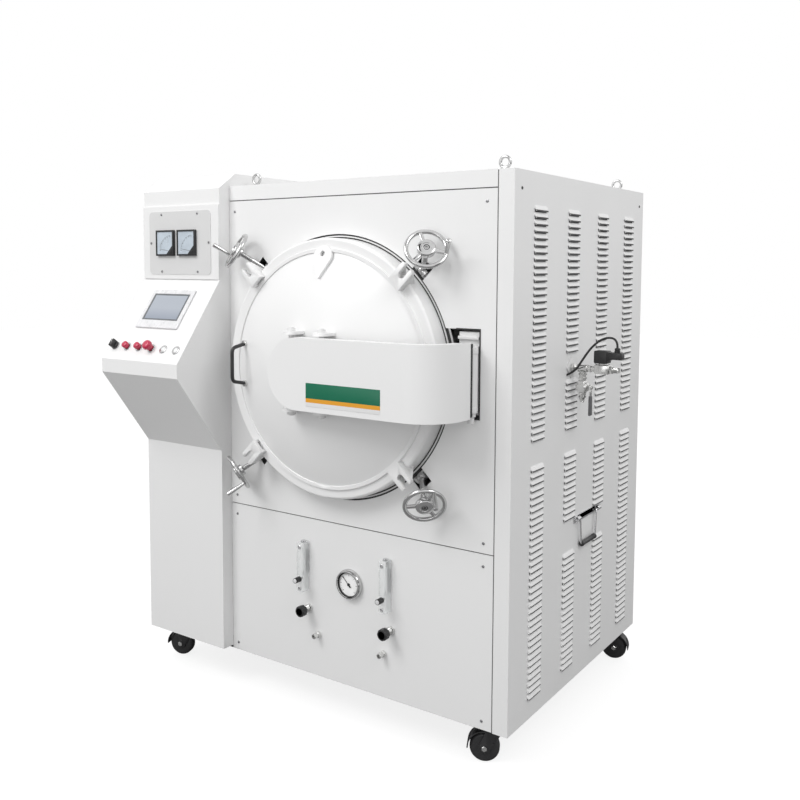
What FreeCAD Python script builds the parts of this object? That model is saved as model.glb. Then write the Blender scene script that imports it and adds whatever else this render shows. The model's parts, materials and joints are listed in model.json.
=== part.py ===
import FreeCAD, Part
import math
import os
from FreeCAD import Placement, Rotation, Vector

# Vacuum atmosphere furnace on casters: a cabinet round a horizontal vessel with a
# swinging round door, and a control cabinet with a sloping desk on its left.
# While the pieces are made, x runs to the right from the cabinet's left side, y runs
# back from its front face and z runs up from its underside. Sizes are millimetres.

# Cabinet
cabinet_width = 961.0
cabinet_depth = 920.0
cabinet_height = 1440.0
sheet = 2.0
seam = 3.0
corner_return = 45.0
header_height = 45.0
upper_panel_height = 928.0
lower_panel_height = cabinet_height - header_height - upper_panel_height
screw_inset = 24.0
screw_inset_right = 30.0
screw_below_seam = 33.0
screw_above_seam = 27.0
screw_head_radius = 4.0
screw_head_height = 2.0

# Frame
tube = 27.0
base_rail = 40.0
top_rail = 30.0
mid_rail_height = 78.0
post_reach = 84.0
shelf_height = lower_panel_height - 37.0
saddle_places = (230.0, 600.0)
saddle_thickness = 12.0
saddle_half_width = 150.0

# Control cabinet
console_width = 334.0
console_forward = 42.0
console_floor = 10.0
hood_top = cabinet_height + 39.0
hood_front_top = hood_top - 47.0
hood_bottom = hood_top - 95.0
meter_box_height = 226.0
desk_top = hood_bottom - meter_box_height
desk_rise = 243.0
desk_reach = 219.0
lip_height = 42.0
lip_top = desk_top - desk_rise
lip_bottom = lip_top - lip_height
knee_drop = 238.0
knee_height = lip_bottom - knee_drop
meter_box_proud = 5.0
hood_peak_depth = 25.0
console_lip = 20.0

# Meters, screen and desk controls
meter_plate_size = (273.0, 196.0)
meter_plate_centre = (-168.0, desk_top + 112.0)
meter_plate_thickness = 1.5
meter_plate_corner = 14.0
meter_size = 80.0
meter_spacing = 95.0
meter_bezel = 9.0
meter_case = 66.0
meter_case_depth = 45.0
screen_size = (184.0, 140.0)
screen_down_slope = 115.0
screen_centre_x = -163.0
screen_bezel = 6.0
screen_glass = (157.0, 97.0)
screen_case = (168.0, 124.0)
screen_case_depth = 36.0
control_spacing = 53.5
first_control_x = -300.0
controls_down_slope = 254.0
collar_radius = 14.0
collar_sleeve = 11.0
flush_recess = 8.0
collar_height = 3.0
control_stem = 8.7
button_radius = 10.5
button_travel = 4.0
button_height = 11.0
mushroom_radius = 15.0
mushroom_height = 22.0
selector_length = 25.0
selector_width = 13.0
selector_height = 21.0

# Door and vessel, about one axis that runs along y
door_radius = 363.0
door_x = cabinet_width - 545.0
door_z = lower_panel_height + upper_panel_height / 2 - 17.0
door_front = -52.0
door_back = 2.5
door_ring = 45.0
door_edge_round = 7.0
dish_radius = door_radius - 33.0
dish_rise = 66.0
dish_wall = 6.0
dish_bead = 6.0
panel_hole_radius = door_radius + 12.0
seal_gap = 1.5
vessel_flange_radius = door_radius + 22.0
vessel_flange = 32.0
vessel_mouth = door_radius - 63.0
vessel_radius = door_radius - 38.0
vessel_wall = 12.0
vessel_length = 700.0
vessel_head_rise = 84.0
seal_radius = door_radius - 23.0
seal_section = 3.0
seal_groove_width = 10.0
seal_groove_depth = 5.0
fit_gap = 0.3
running_gap = 0.05

# Hot zone
lining_outer = 420.0
lining_wall = 60.0
lining_front = 50.0
lining_depth = 510.0
rail_spacing = 260.0
rail_width = 20.0
rail_setback = (30.0, 20.0)
element_radius = 7.0
element_rows = (150.0, 270.0, 390.0)
element_inset = 16.0
element_socket = 20.0
hearth_size = (230.0, 400.0)
hearth_thickness = 12.0
hearth_leg = 20.0
plug_radius = vessel_mouth - 20.0
plug_depth = 44.0
plug_plate = 10.0
plug_plate_front = -25.0

# Clamps
clamp_angles = {"upper_right": 45.0, "upper_left": 135.0, "lower_left": 225.0, "lower_right": 315.0}
crank_turns = {"upper_right": 222.0, "upper_left": 322.0, "lower_left": 25.0, "lower_right": 10.0}
clamp_radius = door_radius + 25.0
clamp_pivot_depth = 13.0
swing_out = 47.0
lug_radius = 14.0
lug_cheek = 8.0
eye_width = 18.0
clamp_pin_radius = 6.0
bolt_radius = 8.0
wheel_distance = 107.0
wheel_radius = 58.0
wheel_rim = 6.0
wheel_hub_radius = 24.0
wheel_hub_back = 16.5
wheel_hub_front = 10.0
bolt_recess = 1.5
bolt_length = wheel_distance + wheel_hub_front - bolt_recess
wheel_boss_radius = 17.0
spoke_width = 11.0
spoke_thickness = 8.0
crank_length = 60.0
crank_base_radius = 5.0
crank_tip_radius = 6.5
bracket_front = -76.0
bracket_inner = door_radius - 25.0
bracket_outer = door_radius + 39.0
bracket_half_width = 22.0
bracket_slot = 20.0
bracket_slot_start = clamp_radius - 14.0
bracket_plate = 13.0
bracket_cheek = 8.0
notch_half_width = 23.0
notch_outer = clamp_radius + 31.0

# Arm and hinge
pivot_x = cabinet_width - 107.0
pivot_y = -16.0
shroud_front = -185.0
shroud_half_height = 97.0
shroud_bend = 112.0
shroud_sheet = 2.0
shroud_lip = 28.0
shroud_side_x = pivot_x + 10.0
shroud_side_end = -36.0
arm_half_height = 35.0
arm_thickness = 50.0
arm_left = door_x - 71.0
hinge_pin_radius = 9.0
hinge_boss_radius = 17.0
hinge_lug = 18.0
hinge_sleeve = 131.0
hinge_neck = (pivot_x - 16.0, pivot_x + 12.0)
hinge_plate = (pivot_x - 48.0, pivot_x + 12.0)
hinge_plate_back = 24.0
hinge_plate_thickness = 18.0
hinge_post_depth = 40.0
pocket_right = pivot_x + 16.0
pocket_bottom = door_z - 102.0
pocket_top = door_z + 127.0
yoke_places = (-53.0, 52.0)
yoke_pin_radius = 7.0
yoke_pin_y = -138.0
yoke_half_width = 24.0
yoke_plate = 8.0
yoke_clear = 4.0

# Door handle and lifting lug
handle_radius_from_axis = dish_radius - 38.0
handle_feet = 118.0
handle_bar = 96.0
handle_stand = 56.0
handle_rod = 5.0
handle_foot_radius = 9.0
lifting_lug_width = 62.0
lifting_lug_height = 94.0
lifting_lug_thickness = 8.0
lifting_lug_hole = 8.0
lifting_lug_top = dish_radius + 12.0

# Gas panel
flowmeter_places = (door_x - 114.0, door_x + 177.0)
flowmeter_size = (24.0, 34.0, 145.0)
flowmeter_drop = 140.5
flowmeter_z = lower_panel_height - flowmeter_drop
flowmeter_foot = flowmeter_z - flowmeter_size[2] / 2
flowmeter_bore = 5.0
flow_knob_radius = 8.0
flow_knob_length = 22.0
flow_knob_drop = 34.0
flow_stem_radius = 4.0
flow_seat_depth = 12.0
valve_places = (door_x - 106.0, door_x + 185.0)
valve_row = 0.743
valve_z = base_rail + valve_row * (flowmeter_foot - base_rail)
valve_knob_radius = 16.0
valve_knob_length = 20.0
valve_bonnet_radius = 9.0
valve_bonnet_length = 26.0
nozzle_places = (door_x - 70.0, door_x + 161.0)
nozzle_row = 0.407
nozzle_z = base_rail + nozzle_row * (flowmeter_foot - base_rail)
nozzle_radius = 9.0
nozzle_bore = 4.0
nozzle_length = 26.0
gauge_x = door_x + 45.0
gauge_drop = 166.0
gauge_z = lower_panel_height - gauge_drop
gauge_radius = 43.0
gauge_proud = 16.0
gauge_case_depth = 34.0
needle_length = 28.0

# Valve train on the right side
train_y = 358.0
train_z = door_z + 6.0
train_pipe_radius = 8.0
train_bore = 4.5
train_plate_half = 31.0
boss_radius = 20.0
boss_reach = 20.0
train_tee_x = cabinet_width + 36.0
train_body = (cabinet_width + 74.0, cabinet_width + 114.0)
train_outlet_x = cabinet_width + 140.0
coil_x = (cabinet_width + 73.0, cabinet_width + 111.0)
coil_z = (train_z + 17.0, train_z + 52.0)
coil_half_width = 17.0
connector_end = cabinet_width + 150.0
connector_z = (train_z + 29.0, train_z + 48.0)
connector_half_width = 13.0
gland_x = cabinet_width + 134.0
gland_top = train_z + 62.0
gland_radius = 8.0
ball_z = train_z - 52.0
ball_body = 17.0
ball_nozzle_end = ball_z - 43.0
lever_stem_radius = 4.0
lever_length = 78.0
lever_width = 14.0
lever_thickness = 5.0
cable_radius = 3.0
cable_hole = 4.5
cable_route = (
    (1095.0, 358.0, 982.0),
    (1095.0, 358.0, 1005.0),
    (1062.0, 354.0, 1010.0),
    (1028.0, 346.0, 984.0),
    (1003.0, 340.0, 945.0),
    (984.0, 335.5, 912.0),
    (957.0, 334.0, 899.0),
)

# Louvres and side handle
louvre_width = 70.0
louvre_pitch = 18.0
louvre_blade = 1.5
louvre_proud = 5.5
louvre_slot = 2.5
louvre_columns = (148.5, 362.0, 575.5, 789.0)
louvre_upper = (train_z - 174.0, cabinet_height - 100.0)
louvre_lower = (54.0, train_z - 254.0)
side_handle_y = (412.0, 562.0)
side_handle_z = lower_panel_height + 11.0
side_handle_drop = 80.0
side_handle_rod = 3.0
side_handle_grip = 8.0
side_handle_plate = (-12.0, 7.5)
side_handle_x = cabinet_width + 6.0 + side_handle_rod
side_handle_end = 14.0
knuckle_width = 18.0
louvre_gap = (side_handle_z - 88.0, side_handle_z + 4.0)
louvre_port_gap = (train_z - 48.0, train_z + 42.0)

# Lifting eyes
eye_x = (49.0, cabinet_width - 63.0)
eye_y = (70.0, cabinet_depth - 70.0)
eye_places = ((eye_x[0], eye_y[0]), (eye_x[1], eye_y[0]), (eye_x[1], eye_y[1]), (eye_x[0], eye_y[1]))
eye_ring = 14.0
eye_rod = 4.2
eye_seat = 0.4
eye_collar_radius = 11.0
eye_collar_height = 7.0

# Casters
caster_height = 108.0
caster_x = {"left": 72.0 - console_width, "right": cabinet_width - 68.0}
caster_y = {"front": 62.0, "rear": cabinet_depth - 62.0}
caster_places = {row + "_" + side: (caster_x[side], caster_y[row]) for row in caster_y for side in caster_x}
caster_trail = {"front_left": 200.0, "front_right": 205.0, "rear_left": 20.0, "rear_right": 15.0}
caster_wheel_radius = 40.0
caster_wheel_width = 30.0
caster_trail_length = 26.0
caster_pad = 104.0
caster_pad_thickness = 4.0
caster_race_radius = 25.0
caster_race = 8.0
caster_crown = 9.0
caster_kingpin = 6.0
caster_axle = 5.0
caster_plate = 4.0
caster_hood_gap = 4.0
caster_hood_wall = 3.0

# Rear connections
port_radius = 30.0
port_bore = 26.0
port_flange_radius = 55.0
port_flange = 12.0
port_stand = 45.0
port_bolt_circle = 90.0
port_bolt_hole = 4.5
port_bolts = 4
rear_screw_rows = tuple(screw_inset + number * (cabinet_height - 111.0) / 3 for number in range(4))
inlet_drop = 217.0
inlet_places = tuple((cabinet_width - reach, lower_panel_height - inlet_drop) for reach in (261.0, 181.0))
inlet_radius = 11.0
inlet_bore = 5.0
inlet_length = 32.0

X = Vector(1, 0, 0)
Y = Vector(0, 1, 0)
Z = Vector(0, 0, 1)
door_axis = Vector(door_x, 0, door_z)
vessel_front = door_back + seal_gap
desk_slope = Vector(0, -(desk_reach - console_forward), lip_top - desk_top).normalize()
desk_normal = Vector(0, desk_slope.z, -desk_slope.y)
cabinet_right = cabinet_width - sheet
cabinet_back = cabinet_depth - sheet
return_left = cabinet_width - corner_return
shroud_centre_x = shroud_side_x - shroud_bend
shroud_centre_y = shroud_front + shroud_bend
train_panel = cabinet_width


def box(xs, ys, zs):
    """A block between two limits on each axis."""
    return Part.makeBox(xs[1] - xs[0], ys[1] - ys[0], zs[1] - zs[0], Vector(xs[0], ys[0], zs[0]))


def rod(start, direction, radius, length):
    return Part.makeCylinder(radius, length, start, direction)


def pipe(start, direction, radius, bore, length):
    return rod(start, direction, radius, length).cut(rod(start, direction, bore, length))


def prism(points, along):
    """A flat outline through points, drawn out by the vector along."""
    face = Part.Face(Part.makePolygon([Vector(*p) for p in points] + [Vector(*points[0])]))
    return face.extrude(along)


def join(shapes):
    """One solid from shapes that touch or overlap."""
    shapes = list(shapes)
    return shapes[0].fuse(shapes[1:]).removeSplitter()


def group(shapes):
    """Separate solids kept in one node."""
    return Part.makeCompound(list(shapes))


def turned(edges):
    """A full turn of an outline about the door's axis; the outline lies at z = door_z."""
    face = Part.Face(Part.Wire(edges))
    return face.revolve(door_axis, Y, 360)


def hoop(centre, axis, radius, section):
    """A ring whose section has eight sides, as wide across its flats as the real one's diameter."""
    corner = section / math.cos(math.pi / 8)
    turns = [math.pi / 8 + number * math.pi / 4 for number in range(8)]
    points = [Vector(radius + corner * math.cos(a), 0, corner * math.sin(a)) for a in turns]
    shape = Part.Face(Part.makePolygon(points + points[:1])).revolve(Vector(0, 0, 0), Z, 360)
    shape.Placement = Placement(centre, Rotation(Z, axis))
    return shape


def at_radius(radius, y):
    return Vector(door_x + radius, y, door_z)


def lines(points):
    closed = points + [points[0]]
    return [Part.LineSegment(a, b).toShape() for a, b in zip(closed, closed[1:])]


def about_door(shape, angle):
    """Turn a piece made at the right of the door to its place round the axis."""
    moved = shape.copy()
    moved.rotate(door_axis, Y, -angle)
    return moved


def on_desk(x, down_slope, height=0.0):
    """The place on the desk, or above it, at a distance down the slope."""
    top = Vector(x, -console_forward, desk_top)
    return top + desk_slope * down_slope + desk_normal * height


def plate_on_desk(x, down_slope, size, start, height, corner=0.0):
    """A rectangle that lies on the desk, from start to start + height above it."""
    block = Part.makeBox(size[0], size[1], height, Vector(-size[0] / 2, -size[1] / 2, 0))
    if corner:
        block = block.makeFillet(corner, [e for e in block.Edges if upright(e)])
    block.Placement = Placement(on_desk(x, down_slope, start), Rotation(X, desk_slope * -1, desk_normal))
    return block


def upright(edge):
    ends = [v.Point for v in edge.Vertexes]
    return len(ends) == 2 and (ends[0] - ends[1]).cross(Z).Length < 1e-6


def control_x(number):
    return first_control_x + number * control_spacing


def frame_box(left, right, zs):
    """A ring of rails between the cabinet's front and back, at one height."""
    front = (sheet, sheet + tube)
    back = (cabinet_back - tube, cabinet_back)
    across = [box((left, right), ys, zs) for ys in (front, back)]
    sides = [box(xs, (sheet, cabinet_back), zs) for xs in ((left, left + tube), (right - tube, right))]
    return across + sides


def base_frame():
    left = -console_width + sheet
    parts = frame_box(left, cabinet_right, (0, base_rail))
    parts += frame_box(sheet, cabinet_right, (0, base_rail))
    parts += frame_box(sheet, cabinet_right, (shelf_height, shelf_height + base_rail))
    parts += frame_box(sheet, cabinet_right, (cabinet_height - sheet - top_rail, cabinet_height - sheet))
    posts = ((sheet, sheet + tube), (cabinet_right - post_reach, cabinet_right))
    top = cabinet_height - sheet
    for xs in posts:
        parts.append(box(xs, (sheet, sheet + tube), (0, top)))
    for xs in (posts[0], (cabinet_right - tube, cabinet_right)):
        parts.append(box(xs, (cabinet_back - tube, cabinet_back), (0, top)))
    seam_z = lower_panel_height
    front = (sheet, sheet + tube)
    panel_top = cabinet_height - header_height
    across = (sheet, cabinet_right)
    parts.append(box(across, front, (seam_z - mid_rail_height / 2, seam_z + mid_rail_height / 2)))
    parts.append(box(across, front, (panel_top - mid_rail_height / 2, panel_top + seam)))
    post_y = (hinge_plate_back, hinge_plate_back + hinge_post_depth)
    parts.append(box(hinge_plate, post_y, (0, top)))
    for y in saddle_places:
        parts.append(saddle(y))
    for place in caster_places.values():
        parts.append(caster_seat(place))
    return join(parts)


def saddle(y):
    """A cross rail with the curved plate that carries the vessel."""
    rail = box((sheet, cabinet_right), (y - tube / 2, y + tube / 2), (shelf_height, shelf_height + base_rail))
    wide = (door_x - saddle_half_width, door_x + saddle_half_width)
    plate_y = (y - saddle_thickness / 2, y + saddle_thickness / 2)
    plate = box(wide, plate_y, (shelf_height, door_z - vessel_radius / 2))
    hollow = rod(Vector(door_x, y - saddle_thickness, door_z), Y, vessel_radius + fit_gap, 2 * saddle_thickness)
    return rail.fuse(plate.cut(hollow))


def caster_seat(place):
    """The pad under a corner and the bearing race below it, bored for the kingpin."""
    x, y = place
    half = caster_pad / 2
    pad = box((x - half, x + half), (y - half, y + half), (-caster_pad_thickness, fit_gap))
    race = rod(Vector(x, y, -caster_pad_thickness - caster_race), Z, caster_race_radius, caster_race)
    bore = rod(Vector(x, y, -caster_height), Z, caster_kingpin + running_gap, caster_height)
    bore = bore.common(box((x - half, x + half), (y - half, y + half), (-caster_height, fit_gap)))
    return pad.fuse(race).cut(bore)


def side_outline(grow=0.0):
    """The control cabinet seen from its side, shrunk by grow inside its walls."""
    front = -console_forward
    proud = front - meter_box_proud
    points = [
        (front, console_floor), (front, knee_height), (-desk_reach, lip_bottom), (-desk_reach, lip_top),
        (front, desk_top), (proud, desk_top), (proud, hood_bottom), (cabinet_depth, hood_bottom),
        (cabinet_depth, console_floor),
    ]
    wire = Part.makePolygon([Vector(0, y, z) for y, z in points + points[:1]])
    if grow:
        wire = wire.makeOffset2D(grow, 2)
    return Part.Face(wire)


def console_shell():
    body = side_outline().extrude(X * console_width)
    inner = side_outline(-sheet).extrude(X * (console_width - 2 * sheet))
    body.translate(Vector(-console_width, 0, 0))
    inner.translate(Vector(-console_width + sheet, 0, 0))
    body = body.cut(inner)
    inside_x = (-console_width + console_lip, -console_lip)
    inside_y = (-console_forward + console_lip, cabinet_depth - console_lip)
    ends = ((console_floor - sheet, console_floor + 2 * sheet), (hood_bottom - 2 * sheet, hood_bottom + sheet))
    cuts = [box(inside_x, inside_y, zs) for zs in ends]
    cuts.append(box((-2 * sheet, sheet), (0, cabinet_depth), (0, base_rail)))
    cuts.append(box((-console_width - sheet, sheet), (sheet, cabinet_depth - sheet), (0, base_rail)).cut(
        box((-console_width - sheet, -console_width + sheet), (0, cabinet_depth), (0, base_rail))))
    behind = -console_forward
    for x in meter_centres():
        half = (meter_case + 2) / 2
        z = meter_plate_centre[1]
        cuts.append(box((x - half, x + half), (behind - 4 * sheet, behind + 2 * sheet), (z - half, z + half)))
    window = (screen_case[0] + 2, screen_case[1] + 2)
    cuts.append(plate_on_desk(screen_centre_x, screen_down_slope, window, -2 * sheet, 4 * sheet))
    for number in range(6):
        start = on_desk(control_x(number), controls_down_slope, -2 * sheet)
        cuts.append(rod(start, desk_normal, collar_sleeve + fit_gap, 4 * sheet))
    return body.cut(cuts)


def console_hood():
    """The cap over the control cabinet, with its sloped front."""
    front = -console_forward
    points = [
        (front, hood_bottom), (front, hood_front_top), (hood_peak_depth, hood_top),
        (cabinet_depth, hood_top), (cabinet_depth, hood_bottom),
    ]
    wire = Part.makePolygon([Vector(0, y, z) for y, z in points + points[:1]])
    outer = Part.Face(wire).extrude(X * console_width)
    inner = Part.Face(wire.makeOffset2D(-sheet, 2)).extrude(X * (console_width - 2 * sheet))
    outer.translate(Vector(-console_width, 0, 0))
    inner.translate(Vector(-console_width + sheet, 0, 0))
    mouth = box((-console_width + sheet, -sheet), (front + sheet, cabinet_depth - sheet),
                (hood_bottom - sheet, hood_bottom + 2 * sheet))
    return outer.cut([inner, mouth])


def meter_centres():
    x = meter_plate_centre[0] - 11.0
    return (x - meter_spacing / 2, x + meter_spacing / 2)


def meter_plate():
    wide, high = meter_plate_size
    x, z = meter_plate_centre
    y = -console_forward - meter_box_proud
    plate = box((x - wide / 2, x + wide / 2), (y - meter_plate_thickness, y), (z - high / 2, z + high / 2))
    corners = [e for e in plate.Edges if (e.Vertexes[0].Point - e.Vertexes[1].Point).cross(Y).Length < 1e-6]
    plate = plate.makeFillet(meter_plate_corner, corners)
    half = (meter_case + 1) / 2
    holes = [box((c - half, c + half), (y - 9, y + 9), (z - half, z + half)) for c in meter_centres()]
    return plate.cut(holes)


def panel_meters():
    """Two square meters: a bezel on the plate, a recessed face and the case behind."""
    y = -console_forward - meter_box_proud - meter_plate_thickness
    z = meter_plate_centre[1]
    meters = []
    for x in meter_centres():
        half = meter_size / 2
        bezel = box((x - half, x + half), (y - meter_bezel, y), (z - half, z + half))
        bezel = bezel.makeChamfer(2.0, front_edges(bezel, y - meter_bezel))
        window = box((x - half + 5, x + half - 5), (y - meter_bezel - 1, y - meter_bezel + 3),
                     (z - 20, z + half - 5))
        case = box((x - meter_case / 2, x + meter_case / 2), (y, y + meter_case_depth),
                   (z - meter_case / 2, z + meter_case / 2))
        meters.append(bezel.cut(window).fuse(case))
    return group(meters)


def front_edges(shape, y):
    return [e for e in shape.Edges if all(abs(v.Point.y - y) < 1e-6 for v in e.Vertexes)]


def touch_screen():
    frame = plate_on_desk(screen_centre_x, screen_down_slope, screen_size, 0, screen_bezel, 6.0)
    glass = plate_on_desk(screen_centre_x, screen_down_slope - 6, screen_glass, screen_bezel - 1.2, 3)
    case = plate_on_desk(screen_centre_x, screen_down_slope, screen_case, -screen_case_depth, screen_case_depth)
    return frame.cut(glass).fuse(case)


def button_collars():
    collars = []
    for number in range(6):
        x = control_x(number)
        face = rod(on_desk(x, controls_down_slope), desk_normal, collar_radius, collar_height)
        sleeve = rod(on_desk(x, controls_down_slope, -22), desk_normal, collar_sleeve, 22 + collar_height)
        collar = face.fuse(sleeve)
        if number < 4:
            bore = rod(on_desk(x, controls_down_slope, -18), desk_normal, control_stem + fit_gap, 40)
            collar = collar.cut(bore)
        else:
            collar = collar.cut(rod(on_desk(x, controls_down_slope, 1.2), desk_normal, flush_recess, 9))
        collars.append(collar)
    return group(collars)


def control_stem_rod(number, below, above):
    start = on_desk(control_x(number), controls_down_slope, -below)
    return rod(start, desk_normal, control_stem, below + above)


def selector_knob():
    """A rotary selector with a raised finger bar across its round base."""
    base = collar_height + fit_gap
    x = control_x(0)
    skirt = rod(on_desk(x, controls_down_slope, base), desk_normal, collar_radius - 1, 7)
    bar = plate_on_desk(x, controls_down_slope, (selector_width, selector_length), base, selector_height, 3.0)
    return join([control_stem_rod(0, 14, base + 2), skirt, bar])


def push_button(number):
    rest = collar_height + button_travel + fit_gap
    cap = rod(on_desk(control_x(number), controls_down_slope, rest), desk_normal, button_radius, button_height)
    cap = cap.makeChamfer(1.5, [e for e in cap.Edges if e.Closed and far_edge(e, cap)])
    return cap.fuse(control_stem_rod(number, 12, rest + 1))


def far_edge(edge, shape):
    """Whether a round edge is the one furthest out from the desk."""
    heights = [e.CenterOfMass.dot(desk_normal) for e in shape.Edges]
    return abs(edge.CenterOfMass.dot(desk_normal) - max(heights)) < 1e-6


def emergency_stop():
    rest = collar_height + button_travel + fit_gap
    x = control_x(3)
    neck = rod(on_desk(x, controls_down_slope, rest), desk_normal, 12.0, 9)
    start = on_desk(x, controls_down_slope, rest + 7)
    head = rod(start, desk_normal, mushroom_radius, mushroom_height - 7)
    rims = [e for e in head.Edges if e.Closed and far_edge(e, head)]
    head = head.makeChamfer(5.0, rims)
    return join([control_stem_rod(3, 12, rest + 1), neck, head])


def panel_hole(x, z, radius):
    return rod(Vector(x, -sheet, z), Y, radius, 3 * sheet)


def front_upper_panel():
    """The upper front sheet, cut for the door, the clamp lugs and the hinge."""
    zs = (lower_panel_height + seam / 2, cabinet_height - header_height - seam / 2)
    panel = box((0.5, return_left - seam / 2), (0, sheet), zs)
    opening = rod(Vector(door_x, -sheet, door_z), Y, panel_hole_radius, 3 * sheet)
    pocket = box((door_x, pocket_right), (-sheet, 2 * sheet), (pocket_bottom, pocket_top))
    notch = box((door_x + door_radius / 2, door_x + notch_outer), (-sheet, 2 * sheet),
                (door_z - notch_half_width, door_z + notch_half_width))
    notches = [about_door(notch, angle) for angle in clamp_angles.values()]
    return panel.cut([opening, pocket] + notches)


def front_lower_panel():
    panel = box((0.5, return_left - seam / 2), (0, sheet), (1.5, lower_panel_height - seam / 2))
    holes = [panel_hole(x, valve_z, 6.5) for x in valve_places]
    holes += [panel_hole(x, nozzle_z, 6.5) for x in nozzle_places]
    holes.append(panel_hole(gauge_x, gauge_z, gauge_radius - 6))
    return panel.cut(holes)


def louvre_runs():
    """Each stretch of louvres as its column's middle and its lowest and highest blade."""
    runs = []
    for number, y in enumerate(louvre_columns):
        upper = split_run(louvre_upper, louvre_port_gap if number == 1 else None)
        lower = split_run(louvre_lower, louvre_gap if number in (1, 2) else None)
        runs += [(y, low, high) for low, high in upper + lower]
    return runs


def split_run(run, gap):
    if not gap:
        return [run]
    below = int((gap[0] - run[0]) / louvre_pitch) * louvre_pitch
    above = math.ceil((gap[1] - run[0]) / louvre_pitch) * louvre_pitch
    return [(run[0], run[0] + below), (run[0] + above, run[1])]


def louvre_blade_at(y, z):
    """One blade: it leans out of the sheet and leaves a slot below its edge."""
    inner = cabinet_right
    outer = cabinet_width + louvre_proud
    top = z + louvre_pitch - 1
    points = [
        (inner, y, top), (cabinet_width, y, top), (outer, y, z + louvre_slot - 1.0),
        (outer - louvre_blade, y, z + louvre_slot - 1.5), (inner, y, top - 2 * louvre_blade),
    ]
    blade = prism(points, Y * (louvre_width + 1))
    blade.translate(Vector(0, -(louvre_width + 1) / 2, 0))
    return blade


def right_side_panel():
    """The right side in one sheet with its front return, louvred for cooling air."""
    side = box((cabinet_right, cabinet_width), (0, cabinet_depth), (0, cabinet_height))
    front = box((return_left + seam / 2, cabinet_width), (0, sheet), (0, cabinet_height))
    windows, blades = [], []
    for y, low, high in louvre_runs():
        count = int(round((high - low) / louvre_pitch)) + 1
        half = louvre_width / 2
        top = low + count * louvre_pitch
        windows.append(box((cabinet_right - 1, cabinet_width + 1), (y - half, y + half), (low, top - 1.5)))
        blades += [louvre_blade_at(y, low + n * louvre_pitch) for n in range(count)]
    port = rod(Vector(cabinet_right - 1, train_y, train_z), X, train_pipe_radius + fit_gap, 2 * sheet)
    end, before = Vector(*cable_route[-1]), Vector(*cable_route[-2])
    entry = end + (before - end) * ((cabinet_right + sheet / 2 - end.x) / (before.x - end.x))
    entry.x = cabinet_right - 1
    port = port.fuse(rod(entry, X, cable_hole, 2 * sheet))
    return side.fuse(front).cut(windows + [port]).fuse(blades)


def top_cover():
    top = box((0, cabinet_right), (sheet, cabinet_depth), (cabinet_height - sheet, cabinet_height))
    header = box((0.5, return_left - seam / 2), (0, sheet),
                 (cabinet_height - header_height + seam / 2, cabinet_height))
    bridge = box((0.5, return_left - seam / 2), (0, 2 * sheet), (cabinet_height - sheet, cabinet_height))
    return join([top, header, bridge])


def rear_panel():
    panel = box((0.5, cabinet_right), (cabinet_back, cabinet_depth), (1.5, cabinet_height - sheet - 0.5))
    holes = [rod(Vector(door_x, cabinet_back - 1, door_z), Y, port_radius + 3, 2 * sheet)]
    for x, z in inlet_places:
        holes.append(rod(Vector(x, cabinet_back - 1, z), Y, inlet_bore + 3, 2 * sheet))
    return panel.cut(holes)


def panel_screws():
    """Pan-head screws that hold the front panels, the meter plate and the rear panel."""
    screws = []
    seam_z = lower_panel_height
    rows = (screw_inset, seam_z - screw_below_seam, seam_z + screw_above_seam,
            cabinet_height - header_height - screw_below_seam)
    for z in rows:
        for x in (screw_inset, return_left - screw_inset_right):
            screws.append(screw(Vector(x, 0, z), Y * -1))
    x, z = meter_plate_centre
    wide, high = meter_plate_size
    y = -console_forward - meter_box_proud - meter_plate_thickness
    side, edge = wide / 2 - 8, high / 2 - 9
    for dx, dz in ((-side, 0), (side, 0), (-80, edge), (80, edge), (-80, -edge), (80, -edge)):
        screws.append(screw(Vector(x + dx, y, z + dz), Y * -1, 0.8))
    for z in rear_screw_rows:
        for x in (screw_inset / 2 + 2, cabinet_right - screw_inset / 2):
            screws.append(screw(Vector(x, cabinet_depth, z), Y))
    return group(screws)


def screw(place, out, scale=1.0):
    return rod(place, out, screw_head_radius * scale, screw_head_height * scale)


def eye_bolts():
    bolts = []
    for x, y in eye_places:
        foot = Vector(x, y, cabinet_height)
        collar = rod(foot, Z, eye_collar_radius, eye_collar_height)
        centre = foot + Z * (eye_collar_height + eye_ring + eye_rod * (1 - eye_seat))
        bolts.append(collar.fuse(hoop(centre, Y, eye_ring, eye_rod)))
    return group(bolts)


def crown(rim, rise, radius):
    """How high a spherical cap with this rim and rise stands at a distance from its axis."""
    ball = (rim**2 + rise**2) / (2 * rise)
    return math.sqrt(ball**2 - radius**2) - ball + rise


def crown_arc(rim, rise, y, side, start, stop):
    """The cap's curve between two distances from the axis; side is -1 where it bulges forward."""
    radii = (start, (start + stop) / 2, stop)
    return Part.Arc(*[at_radius(r, y + side * crown(rim, rise, r)) for r in radii]).toShape()


def dished(radius, y, rise, wall, side):
    """A dished head of one wall."""
    inner = radius - wall
    apex = y + side * rise
    edges = [
        crown_arc(radius, rise, y, side, radius, 0),
        Part.LineSegment(at_radius(0, apex), at_radius(0, apex - side * wall)).toShape(),
        crown_arc(inner, rise - wall, y, side, 0, inner),
        Part.LineSegment(at_radius(inner, y), at_radius(radius, y)).toShape(),
    ]
    return turned(edges)


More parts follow.
